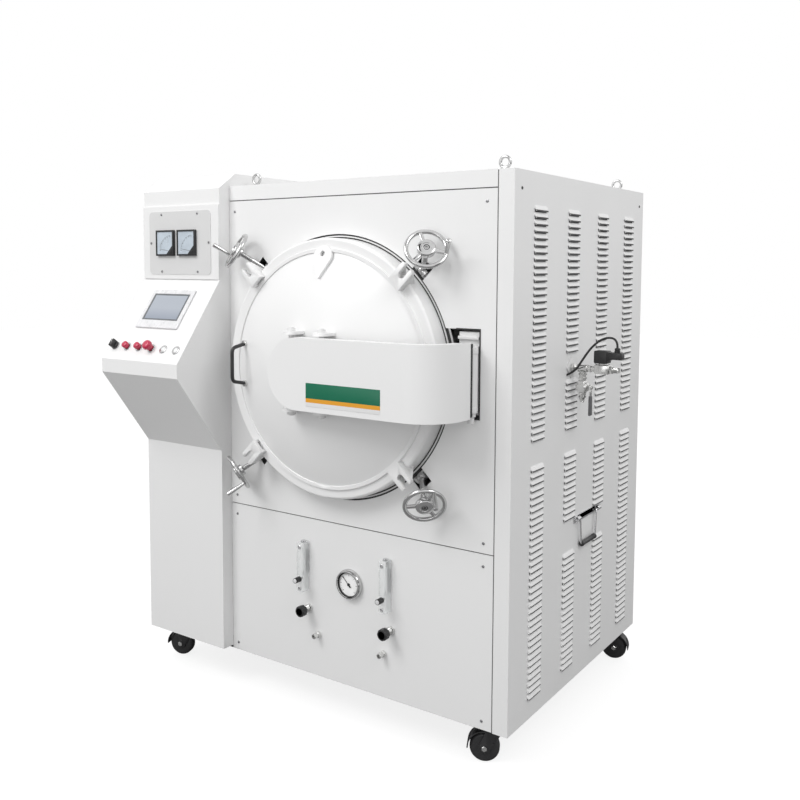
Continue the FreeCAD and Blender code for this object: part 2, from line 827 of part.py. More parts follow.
def chamber_shell():
    """The vessel: mouth flange with seal groove and clamp lugs, shell, rear head and ports."""
    front = vessel_front
    back = front + vessel_flange
    end = back + vessel_length
    flange = turned(lines([at_radius(vessel_mouth, front), at_radius(vessel_flange_radius, front),
                           at_radius(vessel_flange_radius, back), at_radius(vessel_mouth, back)]))
    half = seal_groove_width / 2
    groove = turned(lines([at_radius(seal_radius - half, front - 1), at_radius(seal_radius + half, front - 1),
                           at_radius(seal_radius + half, front + seal_groove_depth),
                           at_radius(seal_radius - half, front + seal_groove_depth)]))
    wall = pipe(Vector(door_x, back, door_z), Y, vessel_radius, vessel_radius - vessel_wall, vessel_length)
    head = dished(vessel_radius, end, vessel_head_rise, vessel_wall, 1)
    port_start = Vector(door_x, end + vessel_head_rise - vessel_wall, door_z)
    port_end = cabinet_depth + port_stand
    port = rod(port_start, Y, port_radius, port_end - port_start.y)
    port_plate = rod(Vector(door_x, port_end - port_flange, door_z), Y, port_flange_radius, port_flange)
    bore = rod(port_start - Y * 30, Y, port_bore, port_end - port_start.y + 31)
    holes = []
    for number in range(port_bolts):
        angle = math.radians(45 + number * 360 / port_bolts)
        place = Vector(door_x + port_bolt_circle / 2 * math.cos(angle), port_end - port_flange - 1,
                       door_z + port_bolt_circle / 2 * math.sin(angle))
        holes.append(rod(place, Y, port_bolt_hole, port_flange + 2))
    rails = [lining_rail(side * rail_spacing / 2) for side in (-1, 1)]
    boss_foot = Vector(door_x + vessel_radius - vessel_wall, train_y, train_z)
    boss = rod(boss_foot, X, boss_radius, vessel_wall + boss_reach)
    boss_bore = rod(boss_foot - X * vessel_wall, X, train_bore, 3 * vessel_wall + boss_reach)
    lugs = [about_door(clamp_lug(), angle) for angle in clamp_angles.values()]
    body = flange.cut([groove] + [about_door(eye_relief(), angle) for angle in clamp_angles.values()])
    return body.fuse([wall, head, port, port_plate, boss] + rails + lugs).cut([bore, boss_bore] + holes)


def lining_rail(offset):
    """A rail on the vessel's floor that carries the hot zone."""
    half = rail_width / 2
    foot = door_z - math.sqrt((vessel_radius - vessel_wall) ** 2 - offset**2)
    ys = (lining_front + rail_setback[0], lining_front + lining_depth - rail_setback[1])
    xs = (door_x + offset - half, door_x + offset + half)
    return box(xs, ys, (foot - vessel_wall / 2, door_z - lining_outer / 2))


def eye_relief():
    """The room between the cheeks for a swing bolt's eye."""
    gap = eye_width / 2 + fit_gap
    centre = Vector(door_x + clamp_radius, clamp_pivot_depth, door_z)
    return rod(centre - Z * gap, Z, lug_radius + fit_gap, 2 * gap)


def clamp_lug():
    """The two cheeks and the pin that carry a swing bolt, drawn at the right of the door."""
    gap = eye_width / 2 + fit_gap
    centre = Vector(door_x + clamp_radius, clamp_pivot_depth, door_z)
    parts = []
    for low in (-gap - lug_cheek, gap):
        cheek = rod(centre + Z * low, Z, lug_radius, lug_cheek)
        root = box((door_x + vessel_flange_radius - 30, door_x + clamp_radius),
                   (vessel_front + seal_groove_depth + 1, clamp_pivot_depth + lug_radius),
                   (door_z + low, door_z + low + lug_cheek))
        parts += [cheek, root]
    radii = (door_radius - 60, vessel_flange_radius - 10)
    cut = turned(lines([at_radius(radii[0], -40), at_radius(radii[1], -40),
                        at_radius(radii[1], vessel_front), at_radius(radii[0], vessel_front)]))
    pin = rod(centre - Z * (gap + lug_cheek + 3), Z, clamp_pin_radius, 2 * (gap + lug_cheek + 3))
    return join(parts + [pin]).cut(cut)


def door_seal():
    centre = Vector(door_x, vessel_front + seal_groove_depth - seal_section, door_z)
    return hoop(centre, Y, seal_radius, seal_section)


def lining_edges():
    half = lining_outer / 2
    return (door_x - half, door_x + half), (door_z - half, door_z + half)


def insulation_lining():
    """Five fibre boards round the hot zone, drilled for the heating rods, and the hearth plate."""
    (left, right), (low, high) = lining_edges()
    wall = lining_wall
    back = lining_front + lining_depth
    inner_y = (lining_front, back - wall)
    top = box((left, right), inner_y, (high - wall, high))
    bottom = box((left, right), inner_y, (low, low + wall))
    sides = [box(xs, inner_y, (low + wall, high - wall)) for xs in ((left, left + wall), (right - wall, right))]
    rear = box((left, right), (back - wall, back), (low, high))
    holes = [rod(Vector(x, y, low + wall - element_socket), Z, element_radius + fit_gap,
                 lining_outer - 2 * wall + 2 * element_socket) for x, y in element_places()]
    top = top.cut(holes)
    bottom = bottom.cut(holes)
    return group([top, bottom, rear, hearth_plate()] + sides)


def element_places():
    (left, right), _ = lining_edges()
    inset = lining_wall + element_inset
    return [(x, y) for y in element_rows for x in (left + inset, right - inset)]


def heating_elements():
    _, (low, high) = lining_edges()
    start = low + lining_wall - element_socket + fit_gap
    length = high - low - 2 * lining_wall + 2 * element_socket - 2 * fit_gap
    return group(rod(Vector(x, y, start), Z, element_radius, length) for x, y in element_places())


def hearth_plate():
    floor = lining_edges()[1][0] + lining_wall
    wide, deep = hearth_size
    xs = (door_x - wide / 2, door_x + wide / 2)
    ys = (lining_front + 20, lining_front + 20 + deep)
    plate = box(xs, ys, (floor + hearth_leg, floor + hearth_leg + hearth_thickness))
    legs = [box((x, x + 20), (y, y + 20), (floor, floor + hearth_leg))
            for x in (xs[0] + 15, xs[1] - 35) for y in (ys[0] + 20, ys[1] - 40)]
    return join([plate] + legs)


def door_flange():
    """The heavy ring of the door, rounded at its front edge."""
    inner = door_radius - door_ring
    curve = door_edge_round
    corner = at_radius(door_radius - curve, door_front + curve)
    middle = corner + Vector(curve, 0, 0) * math.sqrt(0.5) + Vector(0, -curve, 0) * math.sqrt(0.5)
    start, stop = at_radius(door_radius - curve, door_front), at_radius(door_radius, door_front + curve)
    points = [stop, at_radius(door_radius, door_back), at_radius(inner, door_back),
              at_radius(inner, door_front), start]
    edges = [Part.LineSegment(a, b).toShape() for a, b in zip(points, points[1:])]
    edges.append(Part.Arc(start, middle, stop).toShape())
    return turned(edges)


def clamp_brackets():
    """Four forked brackets that sit on the door ring."""
    ring = door_flange()
    return group(about_door(clamp_bracket(), angle).cut(ring) for angle in clamp_angles.values())


def clamp_bracket():
    """A slotted front plate on two cheeks, drawn at the right of the door."""
    half = bracket_half_width
    inner, outer = door_x + bracket_inner, door_x + bracket_outer
    plate_back = bracket_front + bracket_plate
    plate = box((inner, outer), (bracket_front, plate_back), (door_z - half, door_z + half))
    rounded = [e for e in plate.Edges if abs(e.Vertexes[0].Point.y - e.Vertexes[1].Point.y) > 1 and
               e.Vertexes[0].Point.x > outer - 1]
    plate = plate.makeFillet(8.0, rounded)
    cheeks = []
    for low in (-half, half - bracket_cheek):
        points = [(inner, plate_back, door_z + low), (outer - 8, plate_back, door_z + low),
                  (door_x + door_radius - 6, door_front + 34, door_z + low), (inner, door_front + 10, door_z + low)]
        cheeks.append(prism(points, Z * bracket_cheek))
    slot_half = bracket_slot / 2
    slot = box((door_x + bracket_slot_start, outer + 1), (bracket_front - 1, plate_back + 1),
               (door_z - slot_half, door_z + slot_half))
    slot_end = rod(Vector(door_x + bracket_slot_start, bracket_front - 1, door_z), Y, slot_half, bracket_plate + 2)
    return join([plate] + cheeks).cut([slot, slot_end])


def dish_depth(radius):
    """How far the door's dish stands in front of its rim at a distance from the axis."""
    return crown(dish_radius, dish_rise, radius)


def door_dish():
    """The door's dished plate with its bead, lifting lug and yoke lugs."""
    inner = dish_radius - dish_wall
    shoulder = dish_radius - dish_bead
    apex = door_front - dish_rise
    rim = [
        at_radius(shoulder, door_front - dish_depth(shoulder)),
        at_radius(shoulder + 1, door_front - dish_bead), at_radius(dish_radius + dish_bead - 2, door_front - dish_bead),
        at_radius(dish_radius + dish_bead, door_front), at_radius(inner, door_front),
    ]
    edges = [Part.LineSegment(a, b).toShape() for a, b in zip(rim, rim[1:])]
    edges += [
        crown_arc(inner, dish_rise - dish_wall, door_front, -1, inner, 0),
        Part.LineSegment(at_radius(0, apex + dish_wall), at_radius(0, apex)).toShape(),
        crown_arc(dish_radius, dish_rise, door_front, -1, 0, shoulder),
    ]
    parts = [lifting_lug()]
    for x in yoke_places:
        for z in yoke_heights():
            parts.append(yoke_lug(door_x + x, z))
    return turned(edges).fuse(parts)


def yoke_heights():
    clear = shroud_half_height + yoke_clear
    return (door_z + clear, door_z - clear - yoke_plate)


def yoke_lug(x, z):
    """A flat lug that reaches from the dish to the yoke pin."""
    reach = box((x - yoke_half_width, x + yoke_half_width),
                (yoke_pin_y, door_front - dish_depth(shroud_half_height + 50) + dish_wall / 2), (z, z + yoke_plate))
    nose = rod(Vector(x, yoke_pin_y, z), Z, yoke_half_width, yoke_plate)
    bore = rod(Vector(x, yoke_pin_y, z - 1), Z, yoke_pin_radius + running_gap, yoke_plate + 2)
    return reach.fuse(nose).cut(bore)


def lifting_lug():
    """A drop-shaped plate with one hole, laid on the top of the dish."""
    half = lifting_lug_width / 2
    round_z = -half
    tip = Vector(0, 0, -lifting_lug_height)
    shoulder = Vector(half * 0.97, 0, round_z - half * 0.25)
    left = Vector(-shoulder.x, 0, shoulder.z)
    edges = [
        Part.Arc(shoulder, Vector(0, 0, 0), left).toShape(),
        Part.LineSegment(left, tip).toShape(),
        Part.LineSegment(tip, shoulder).toShape(),
    ]
    plate = Part.Face(Part.Wire(edges)).extrude(Y * lifting_lug_thickness)
    plate = plate.cut(rod(Vector(0, -1, round_z + 8), Y, lifting_lug_hole, lifting_lug_thickness + 2))
    foot = lifting_lug_top - lifting_lug_height
    lean = math.degrees(math.atan2(dish_depth(foot), lifting_lug_height))
    plate.rotate(Vector(0, 0, 0), X, -lean)
    plate.translate(Vector(door_x, door_front - lifting_lug_thickness - fit_gap, door_z + lifting_lug_top))
    return plate


def door_lining():
    """The plate and fibre plug on the inside of the door."""
    plate = rod(Vector(door_x, plug_plate_front, door_z), Y, door_radius - door_ring - fit_gap, plug_plate)
    start = plug_plate_front + plug_plate
    plug = rod(Vector(door_x, start, door_z), Y, plug_radius, plug_depth - start)
    return plate.fuse(plug)


def door_handle():
    """A bent bar on two feet at the left of the dish."""
    z_feet = handle_feet / 2
    radius = handle_radius_from_axis
    x = door_x - radius
    foot_y = door_front - dish_depth(math.hypot(radius, z_feet))
    bar_y = foot_y - handle_stand
    z_bar = handle_bar / 2
    feet = [Vector(x, foot_y + 2, door_z + side * z_feet) for side in (-1, 1)]
    ends = [Vector(x - 6, bar_y, door_z + side * z_bar) for side in (-1, 1)]
    parts = [bent_rod([feet[0], ends[0], ends[1], feet[1]], handle_rod)]
    parts += [rod(foot - Y * 9, Y, handle_foot_radius, 9 + dish_wall / 2) for foot in feet]
    dish = rod(Vector(door_x, door_front - 1, door_z), Y, dish_radius, dish_rise)
    return join(parts).cut([dished_solid(), dish])


def dished_solid():
    """The space behind the outside of the door's dish."""
    apex = door_front - dish_rise
    edges = [
        crown_arc(dish_radius, dish_rise, door_front, -1, dish_radius, 0),
        Part.LineSegment(at_radius(0, apex), at_radius(0, door_front)).toShape(),
        Part.LineSegment(at_radius(0, door_front), at_radius(dish_radius, door_front)).toShape(),
    ]
    return turned(edges)


def bent_rod(points, radius):
    """A rod along straight runs with mitred bends."""
    path = Part.makePolygon(points)
    profile = Part.Wire(Part.Circle(points[0], points[1] - points[0], radius).toShape())
    return path.makePipeShell([profile], True, False, 1)


def shroud_outline(shrink=0.0):
    """The arm's cover seen from the front: round at the left, square at the right."""
    radius = shroud_half_height - shrink
    front, back = shroud_front - 1, shroud_side_end + 1
    left = rod(Vector(door_x, front, door_z), Y, radius, back - front)
    right = box((door_x, shroud_side_x + 1), (front, back), (door_z - radius, door_z + radius))
    return left.fuse(right)


def arm_shroud():
    """Bent sheet over the arm: flat front, round end, bend at the hinge, return lips."""
    low, high = door_z - shroud_half_height, door_z + shroud_half_height
    centre = Vector(shroud_centre_x, shroud_centre_y, low)
    flat = box((door_x - shroud_half_height, shroud_centre_x), (shroud_front, shroud_front + shroud_sheet), (low, high))
    quarter = box((shroud_centre_x, shroud_side_x + 1), (shroud_front - 1, shroud_centre_y), (low, high))
    bend = rod(centre, Z, shroud_bend, high - low).cut(rod(centre, Z, shroud_bend - shroud_sheet, high - low))
    side = box((shroud_side_x - shroud_sheet, shroud_side_x), (shroud_centre_y, shroud_side_end), (low, high))
    sheet_body = join([flat, bend.common(quarter), side]).common(shroud_outline())
    rim = shroud_outline().cut(shroud_outline(shroud_sheet))
    lips = rim.common(box((door_x - 200, shroud_centre_x), (shroud_front, shroud_front + shroud_lip), (low, high)))
    ring = rod(centre, Z, shroud_bend, high - low).cut(rod(centre, Z, shroud_bend - shroud_lip, high - low))
    bend_lips = ring.common(quarter).common(rim)
    return join([sheet_body, lips, bend_lips])


def swing_arm():
    """The arm inside the cover, from the yoke pins to the hinge sleeve."""
    low = door_z - arm_half_height
    front = shroud_front + shroud_sheet
    back = front + arm_thickness
    outer = shroud_bend - shroud_sheet
    inner = outer - arm_thickness
    cx, cy = shroud_centre_x, shroud_centre_y
    turn = math.sqrt(0.5)
    side = cx + outer - 4
    edges = [
        Part.LineSegment(Vector(arm_left, back, low), Vector(arm_left, front, low)).toShape(),
        Part.LineSegment(Vector(arm_left, front, low), Vector(cx, front, low)).toShape(),
        Part.Arc(Vector(cx, front, low), Vector(cx + (outer - 2) * turn, cy - (outer - 2) * turn, low),
                 Vector(side, cy, low)).toShape(),
        Part.LineSegment(Vector(side, cy, low), Vector(pivot_x, pivot_y, low)).toShape(),
        Part.LineSegment(Vector(pivot_x, pivot_y, low), Vector(cx + inner, cy, low)).toShape(),
        Part.Arc(Vector(cx + inner, cy, low), Vector(cx + inner * turn, cy - inner * turn, low),
                 Vector(cx, back, low)).toShape(),
        Part.LineSegment(Vector(cx, back, low), Vector(arm_left, back, low)).toShape(),
    ]
    beam = Part.Face(Part.Wire(edges)).extrude(Z * 2 * arm_half_height)
    sleeve = rod(Vector(pivot_x, pivot_y, door_z - hinge_sleeve / 2), Z, hinge_boss_radius, hinge_sleeve)
    bore = rod(Vector(pivot_x, pivot_y, door_z - hinge_sleeve), Z, hinge_pin_radius + running_gap, 2 * hinge_sleeve)
    parts = [beam, sleeve]
    top, bottom = yoke_heights()
    for x in yoke_places:
        foot = Vector(door_x + x, yoke_pin_y, bottom - 12)
        parts.append(rod(foot, Z, yoke_pin_radius, top + yoke_plate + 12 - foot.z))
        for z in (bottom - 9, top + yoke_plate):
            parts.append(rod(Vector(foot.x, foot.y, z), Z, yoke_pin_radius + 5, 9))
        parts.append(rod(Vector(foot.x, foot.y, low), Z, yoke_pin_radius + 9, 2 * arm_half_height))
    return join(parts).cut(bore)


def hinge_bracket():
    """The fixed half of the hinge: plate, two lugs, the pin and the cap above the arm."""
    xs = hinge_plate
    ys = (hinge_plate_back - hinge_plate_thickness, hinge_plate_back)
    plate = box(xs, ys, (pocket_bottom + 10, pocket_top - 7))
    gap = hinge_sleeve / 2 + fit_gap
    parts = [plate]
    for low in (door_z - gap - hinge_lug, door_z + gap):
        neck = box(hinge_neck, (pivot_y, ys[0]), (low, low + hinge_lug))
        boss = rod(Vector(pivot_x, pivot_y, low), Z, hinge_boss_radius, hinge_lug)
        parts += [neck, boss]
    cap_low = door_z + shroud_half_height + yoke_clear
    parts.append(box(xs, (-sheet, ys[0]), (cap_low, cap_low + yoke_plate)))
    pin_foot = pocket_bottom - 9
    pin_top = door_z + gap + hinge_lug + 5
    parts.append(rod(Vector(pivot_x, pivot_y, pin_foot), Z, hinge_pin_radius, pin_top - pin_foot))
    parts.append(rod(Vector(pivot_x, pivot_y, door_z - gap - hinge_lug - 10), Z, hinge_pin_radius + 4, 10))
    return join(parts)


def bolt_direction():
    """The way a swing bolt points when it is swung out, drawn at the right of the door."""
    angle = math.radians(swing_out)
    return Vector(math.sin(angle), -math.cos(angle), 0)


def clamp_pivot():
    return Vector(door_x + clamp_radius, clamp_pivot_depth, door_z)


def swing_bolt():
    """The eye, its shank and the thread that carries the handwheel."""
    pivot, along = clamp_pivot(), bolt_direction()
    eye = rod(pivot - Z * (eye_width / 2), Z, lug_radius - 0.5, eye_width)
    shank = rod(pivot, along, bolt_radius, bolt_length)
    bore = rod(pivot - Z * eye_width, Z, clamp_pin_radius + running_gap, 2 * eye_width)
    return eye.fuse(shank).cut(bore)


def handwheel(crank_turn):
    """Rim, three spokes, hub and crank, on the swung-out bolt at the right of the door."""
    along = bolt_direction()
    centre = clamp_pivot() + along * wheel_distance
    rim = hoop(centre, along, wheel_radius - wheel_rim, wheel_rim)
    hub = rod(centre - along * (wheel_hub_back - 9), along, wheel_hub_radius, wheel_hub_back - 9 + wheel_hub_front)
    boss = rod(centre - along * wheel_hub_back, along, wheel_boss_radius, 10)
    parts = [rim, hub, boss]
    reach = wheel_radius - wheel_rim
    for number in range(3):
        spoke = Part.makeBox(reach, spoke_width, spoke_thickness, Vector(0, -spoke_width / 2, -spoke_thickness / 2))
        spoke.rotate(Vector(0, 0, 0), Z, crank_turn + number * 120)
        spoke.Placement = Placement(centre, Rotation(Z, along.cross(Z), along)).multiply(spoke.Placement)
        parts.append(spoke)
    crank = Part.makeCone(crank_base_radius, crank_tip_radius, crank_length)
    crank = crank.makeChamfer(2.0, [e for e in crank.Edges if e.Closed and e.CenterOfMass.z > crank_length - 1])
    crank.translate(Vector(reach, 0, 2))
    crank.rotate(Vector(0, 0, 0), Z, crank_turn)
    crank.Placement = Placement(centre, Rotation(Z, along.cross(Z), along)).multiply(crank.Placement)
    parts.append(crank)
    bore = rod(clamp_pivot(), along, bolt_radius + running_gap, bolt_length + 20)
    return join(parts).cut(bore)


def flowmeters():
    """Clear blocks with a tapered bore, on two studs through the panel."""
    wide, deep, high = flowmeter_size
    blocks = []
    for x in flowmeter_places:
        block = box((x - wide / 2, x + wide / 2), (-deep, 0), (flowmeter_z - high / 2, flowmeter_z + high / 2))
        block = block.makeChamfer(2.0, front_edges(block, -deep))
        low = flowmeter_z - high / 2 + 45
        bore = Part.makeCone(flowmeter_bore - 1, flowmeter_bore, high - 65, Vector(x, -deep / 2, low), Z)
        place = flow_knob_place(x)
        seat = rod(place, Y, flow_stem_radius + running_gap, flow_seat_depth)
        blocks.append(block.cut([bore, seat]))
    return group(blocks)


def flow_knob_place(x):
    return Vector(x, -flowmeter_size[1], flowmeter_z - flow_knob_drop)


def flow_knob(x):
    place = flow_knob_place(x)
    stem = rod(place + Y * (flow_seat_depth - 0.5), Y * -1, flow_stem_radius, flow_seat_depth + 1)
    cap = rod(place - Y * fit_gap, Y * -1, flow_knob_radius, flow_knob_length)
    rim = [e for e in cap.Edges if e.Closed and e.CenterOfMass.y < place.y - flow_knob_length + 1]
    return stem.fuse(cap.makeChamfer(1.0, rim))


def gas_fittings():
    """Needle valve bonnets, gas nozzles in front and gas inlets at the rear."""
    parts = []
    for x in valve_places:
        bonnet = rod(Vector(x, 0, valve_z), Y * -1, valve_bonnet_radius, valve_bonnet_length)
        tail = rod(Vector(x, 30, valve_z), Y * -1, 6, 30)
        bore = rod(Vector(x, 0, valve_z), Y * -1, 4 + running_gap, valve_bonnet_length + 1)
        parts.append(bonnet.fuse(tail).cut(bore))
    for x in nozzle_places:
        body = rod(Vector(x, 0, nozzle_z), Y * -1, nozzle_radius, nozzle_length)
        rim = [e for e in body.Edges if e.Closed and e.CenterOfMass.y < 1 - nozzle_length]
        body = body.makeChamfer(2.0, rim)
        tail = rod(Vector(x, 30, nozzle_z), Y * -1, 6, 30)
        bore = rod(Vector(x, 31, nozzle_z), Y * -1, nozzle_bore, nozzle_length + 32)
        parts.append(body.fuse(tail).cut(bore))
    for x, z in inlet_places:
        foot = Vector(x, cabinet_depth, z)
        body = rod(foot, Y, inlet_radius, 14).fuse(rod(foot - Y * 20, Y, inlet_bore + 2.5, 20 + inlet_length))
        bore = rod(foot - Y * 21, Y, inlet_bore, 22 + inlet_length)
        parts.append(body.cut(bore))
    return group(parts)


def valve_knob(x):
    """A fluted knob on the needle valve's spindle."""
    start = Vector(x, -valve_bonnet_length - fit_gap, valve_z)
    cap = rod(start, Y * -1, valve_knob_radius, valve_knob_length)
    flutes = []
    for number in range(8):
        angle = math.radians(number * 45 + 22.5)
        offset = Vector(math.cos(angle), 0, math.sin(angle)) * (valve_knob_radius + 1.5)
        flutes.append(rod(start + offset + Y, Y * -1, 3.5, valve_knob_length + 2))
    stem = rod(start + Y * 20, Y * -1, 4.0, 22)
    return cap.cut(flutes).fuse(stem)


def pressure_gauge():
    """A dial gauge through the panel: bezel, open dial and case."""
    front = -gauge_proud
    bezel = rod(Vector(gauge_x, front, gauge_z), Y, gauge_radius, gauge_proud)
    rim = [e for e in bezel.Edges if e.Closed and e.CenterOfMass.y < front + 1]
    bezel = bezel.makeChamfer(4.0, rim)
    dial = rod(Vector(gauge_x, front - 1, gauge_z), Y, gauge_radius - 8, 9)
    case = rod(Vector(gauge_x, 0, gauge_z), Y, gauge_radius - 6.5, gauge_case_depth)
    spindle = rod(Vector(gauge_x, front + 5, gauge_z), Y, 2, 6)
    return join([bezel.cut(dial), case, spindle])


def gauge_needle():
    """The pointer on the gauge's spindle; it rests at zero, low on the left."""
    y = -gauge_proud + 5.5
    points = [(gauge_x - 2.2, y, gauge_z - 9), (gauge_x + 2.2, y, gauge_z - 9),
              (gauge_x + 0.7, y, gauge_z + needle_length), (gauge_x - 0.7, y, gauge_z + needle_length)]
    pointer = prism(points, Y)
    hub = rod(Vector(gauge_x, y - 0.5, gauge_z), Y, 4, 1.8)
    bore = rod(Vector(gauge_x, y - 1, gauge_z), Y, 2 + running_gap, 4)
    needle = pointer.fuse(hub).cut(bore)
    needle.rotate(Vector(gauge_x, 0, gauge_z), Y, -45)
    return needle


def vent_pipework():
    """The gas train on the side: wall plate, tee, ball valve and solenoid valve body."""
    start = door_x + vessel_radius + 20
    centre = Vector(0, train_y, train_z)
    run = rod(centre + X * start, X, train_pipe_radius, train_body[0] - start + 1)
    half = train_plate_half / math.sqrt(2)
    plate = box((train_panel, train_panel + 4), (train_y - half, train_y + half), (train_z - half, train_z + half))
    plate.rotate(centre + X * train_panel, X, 45)
    nut = prism(hexagon(train_panel + 4, 13), X * 9)
    tee = rod(centre + X * (train_tee_x - 14), X, 11, 28)
    branch_top = Vector(train_tee_x, train_y, train_z)
    branch = rod(branch_top, Z * -1, 9, train_z - ball_z - ball_body)
    neck_rings = [rod(branch_top - Z * drop, Z * -1, 11.5, 5) for drop in (14, 25)]
    body = rod(Vector(train_tee_x - ball_body, train_y, ball_z), X, 16, 2 * ball_body)
    block = box((train_tee_x - 13, train_tee_x + 13), (train_y - 13, train_y + 13), (ball_z - 16, ball_z + 18))
    tail = rod(Vector(train_tee_x, train_y, ball_z), Z * -1, 10, ball_z - ball_nozzle_end - 12)
    tip = Part.makeCone(8, 5, 12, Vector(train_tee_x, train_y, ball_nozzle_end + 12), Z * -1)
    stem = rod(Vector(train_tee_x, train_y, ball_z), X, 8, ball_body + 4)
    valve = box(train_body, (train_y - 15, train_y + 15), (train_z - 12, train_z + 13))
    valve = valve.makeChamfer(4.0, [e for e in valve.Edges if along_x(e)])
    seat = rod(Vector(sum(coil_x) / 2, train_y, train_z), Z, 7, coil_z[0] - train_z - fit_gap)
    outlet = rod(centre + X * train_body[1], X, train_pipe_radius - 1, train_outlet_x - train_body[1])
    ferrule = prism(hexagon(train_body[1], 12), X * 8)
    solid = join([run, plate, nut, tee, branch, body, block, tail, tip, stem, valve, seat, outlet, ferrule] + neck_rings)
    spindle_bore = rod(Vector(train_tee_x + 6, train_y, ball_z), X, lever_stem_radius + running_gap, 40)
    down_bore = rod(Vector(train_tee_x, train_y, ball_nozzle_end - 1), Z, 3, 25)
    out_bore = rod(centre + X * (train_outlet_x - 30), X, train_bore, 31)
    in_bore = rod(centre + X * (start - 1), X, train_bore, 60)
    return solid.cut([spindle_bore, down_bore, out_bore, in_bore])


def hexagon(x, radius):
    return [(x, train_y + radius * math.cos(math.radians(a)), train_z + radius * math.sin(math.radians(a)))
            for a in range(0, 360, 60)]


def along_x(edge):
    ends = [v.Point for v in edge.Vertexes]
    return len(ends) == 2 and (ends[0] - ends[1]).cross(X).Length < 1e-6


def solenoid_coil():
    """The coil block, its cable connector and the gland on top of that."""
    coil = box(coil_x, (train_y - coil_half_width, train_y + coil_half_width), coil_z)
    coil = coil.makeFillet(3.0, [e for e in coil.Edges if along_x(e)])
    plug = box((coil_x[1], connector_end), (train_y - connector_half_width, train_y + connector_half_width), connector_z)
    plug = plug.makeFillet(2.5, [e for e in plug.Edges if along_x(e)])
    gland = rod(Vector(gland_x, train_y, connector_z[1]), Z, gland_radius, gland_top - connector_z[1])
    return join([coil, plug, gland])


def cable_path():
    """Straight runs joined by arcs that are as large as the runs allow."""
    points = [Vector(*p) for p in cable_route]
    edges, here = [], points[0]
    for before, corner, after in zip(points, points[1:], points[2:]):
        incoming, outgoing = (corner - before), (after - corner)
        turn = incoming.getAngle(outgoing)
        cut = 0.45 * min(incoming.Length, outgoing.Length)
        radius = cut / math.tan(turn / 2)
        print("cable bend radius", round(radius, 1))
        start = corner - incoming.normalize() * cut
        end = corner + outgoing.normalize() * cut
        inward = (outgoing - incoming).normalize()
        middle = corner + inward * (radius / math.cos(turn / 2) - radius)
        edges.append(Part.LineSegment(here, start).toShape())
        edges.append(Part.Arc(start, middle, end).toShape())
        here = end
    edges.append(Part.LineSegment(here, points[-1]).toShape())
    return Part.Wire(edges)


def solenoid_cable():
    path = cable_path()
    start = Vector(*cable_route[0])
    first = (Vector(*cable_route[1]) - start).normalize()
    profile = Part.Wire(Part.Circle(start, first, cable_radius).toShape())
    tube_solid = path.makePipeShell([profile], True, False)
    print("cable length", round(path.Length, 1), "volume over section times length",
          round(tube_solid.Volume / (math.pi * cable_radius**2 * path.Length), 4))
    return tube_solid


def ball_valve_lever():
    """The flat lever on the ball valve's spindle, hanging beside the valve."""
    hub_x = train_tee_x + ball_body + 4 + fit_gap
    centre = Vector(hub_x, train_y, ball_z)
    stem = rod(centre - X * 12, X, lever_stem_radius, 14)
    hub = rod(centre, X, 8, lever_thickness)
    blade = box((hub_x, hub_x + lever_thickness), (train_y - lever_width / 2, train_y + lever_width / 2),
                (ball_z - lever_length, ball_z))
    end = rod(Vector(hub_x, train_y, ball_z - lever_length), X, lever_width / 2, lever_thickness)
    return join([stem, hub, blade, end])


def side_handle_ears():
    """The chrome back plate of the drop handle and the two knuckles that carry its rod."""
    ends = (side_handle_y[0] - side_handle_end, side_handle_y[1] + side_handle_end)
    zs = [side_handle_z + reach for reach in side_handle_plate]
    parts = [box((cabinet_width, cabinet_width + 3), ends, zs)]
    half = knuckle_width / 2
    for y in side_handle_y:
        parts.append(rod(Vector(side_handle_x, y - half, side_handle_z), Y, side_handle_rod + 4, knuckle_width))
        parts.append(box((cabinet_width + 2, side_handle_x), (y - half, y + half),
                         (side_handle_z - 6, side_handle_z + 6)))
    bore = rod(Vector(side_handle_x, ends[0], side_handle_z), Y, side_handle_rod + running_gap, ends[1] - ends[0])
    return join(parts).cut(bore)


def bail_handle():
    """The drop handle: a bent rod through both ears with a thick grip at the bottom."""
    x = side_handle_x
    low, high = side_handle_y
    foot = side_handle_z - side_handle_drop
    bottom = [Vector(x, low + 24, foot), Vector(x, high - 24, foot)]
    route = [Vector(x, low - 14, side_handle_z), Vector(x, low + 16, side_handle_z), bottom[0], bottom[1],
             Vector(x, high - 16, side_handle_z), Vector(x, high + 14, side_handle_z)]
    grip = rod(bottom[0] + Y * 4, Y, side_handle_grip, (bottom[1] - bottom[0]).Length - 8)
    grip = grip.makeChamfer(1.5, [e for e in grip.Edges if e.Closed])
    return bent_rod(route, side_handle_rod).fuse(grip)


def caster_centre(place, trail):
    angle = math.radians(trail)
    axle = Vector(math.cos(angle), math.sin(angle), 0) * caster_trail_length
    return Vector(place[0], place[1], -caster_height + caster_wheel_radius) + axle


def caster_turn(shape, place, trail):
    """Put a caster piece, made at the origin and trailing along x, at its corner."""
    shape.rotate(Vector(0, 0, 0), Z, trail)
    shape.translate(Vector(place[0], place[1], 0))
    return shape


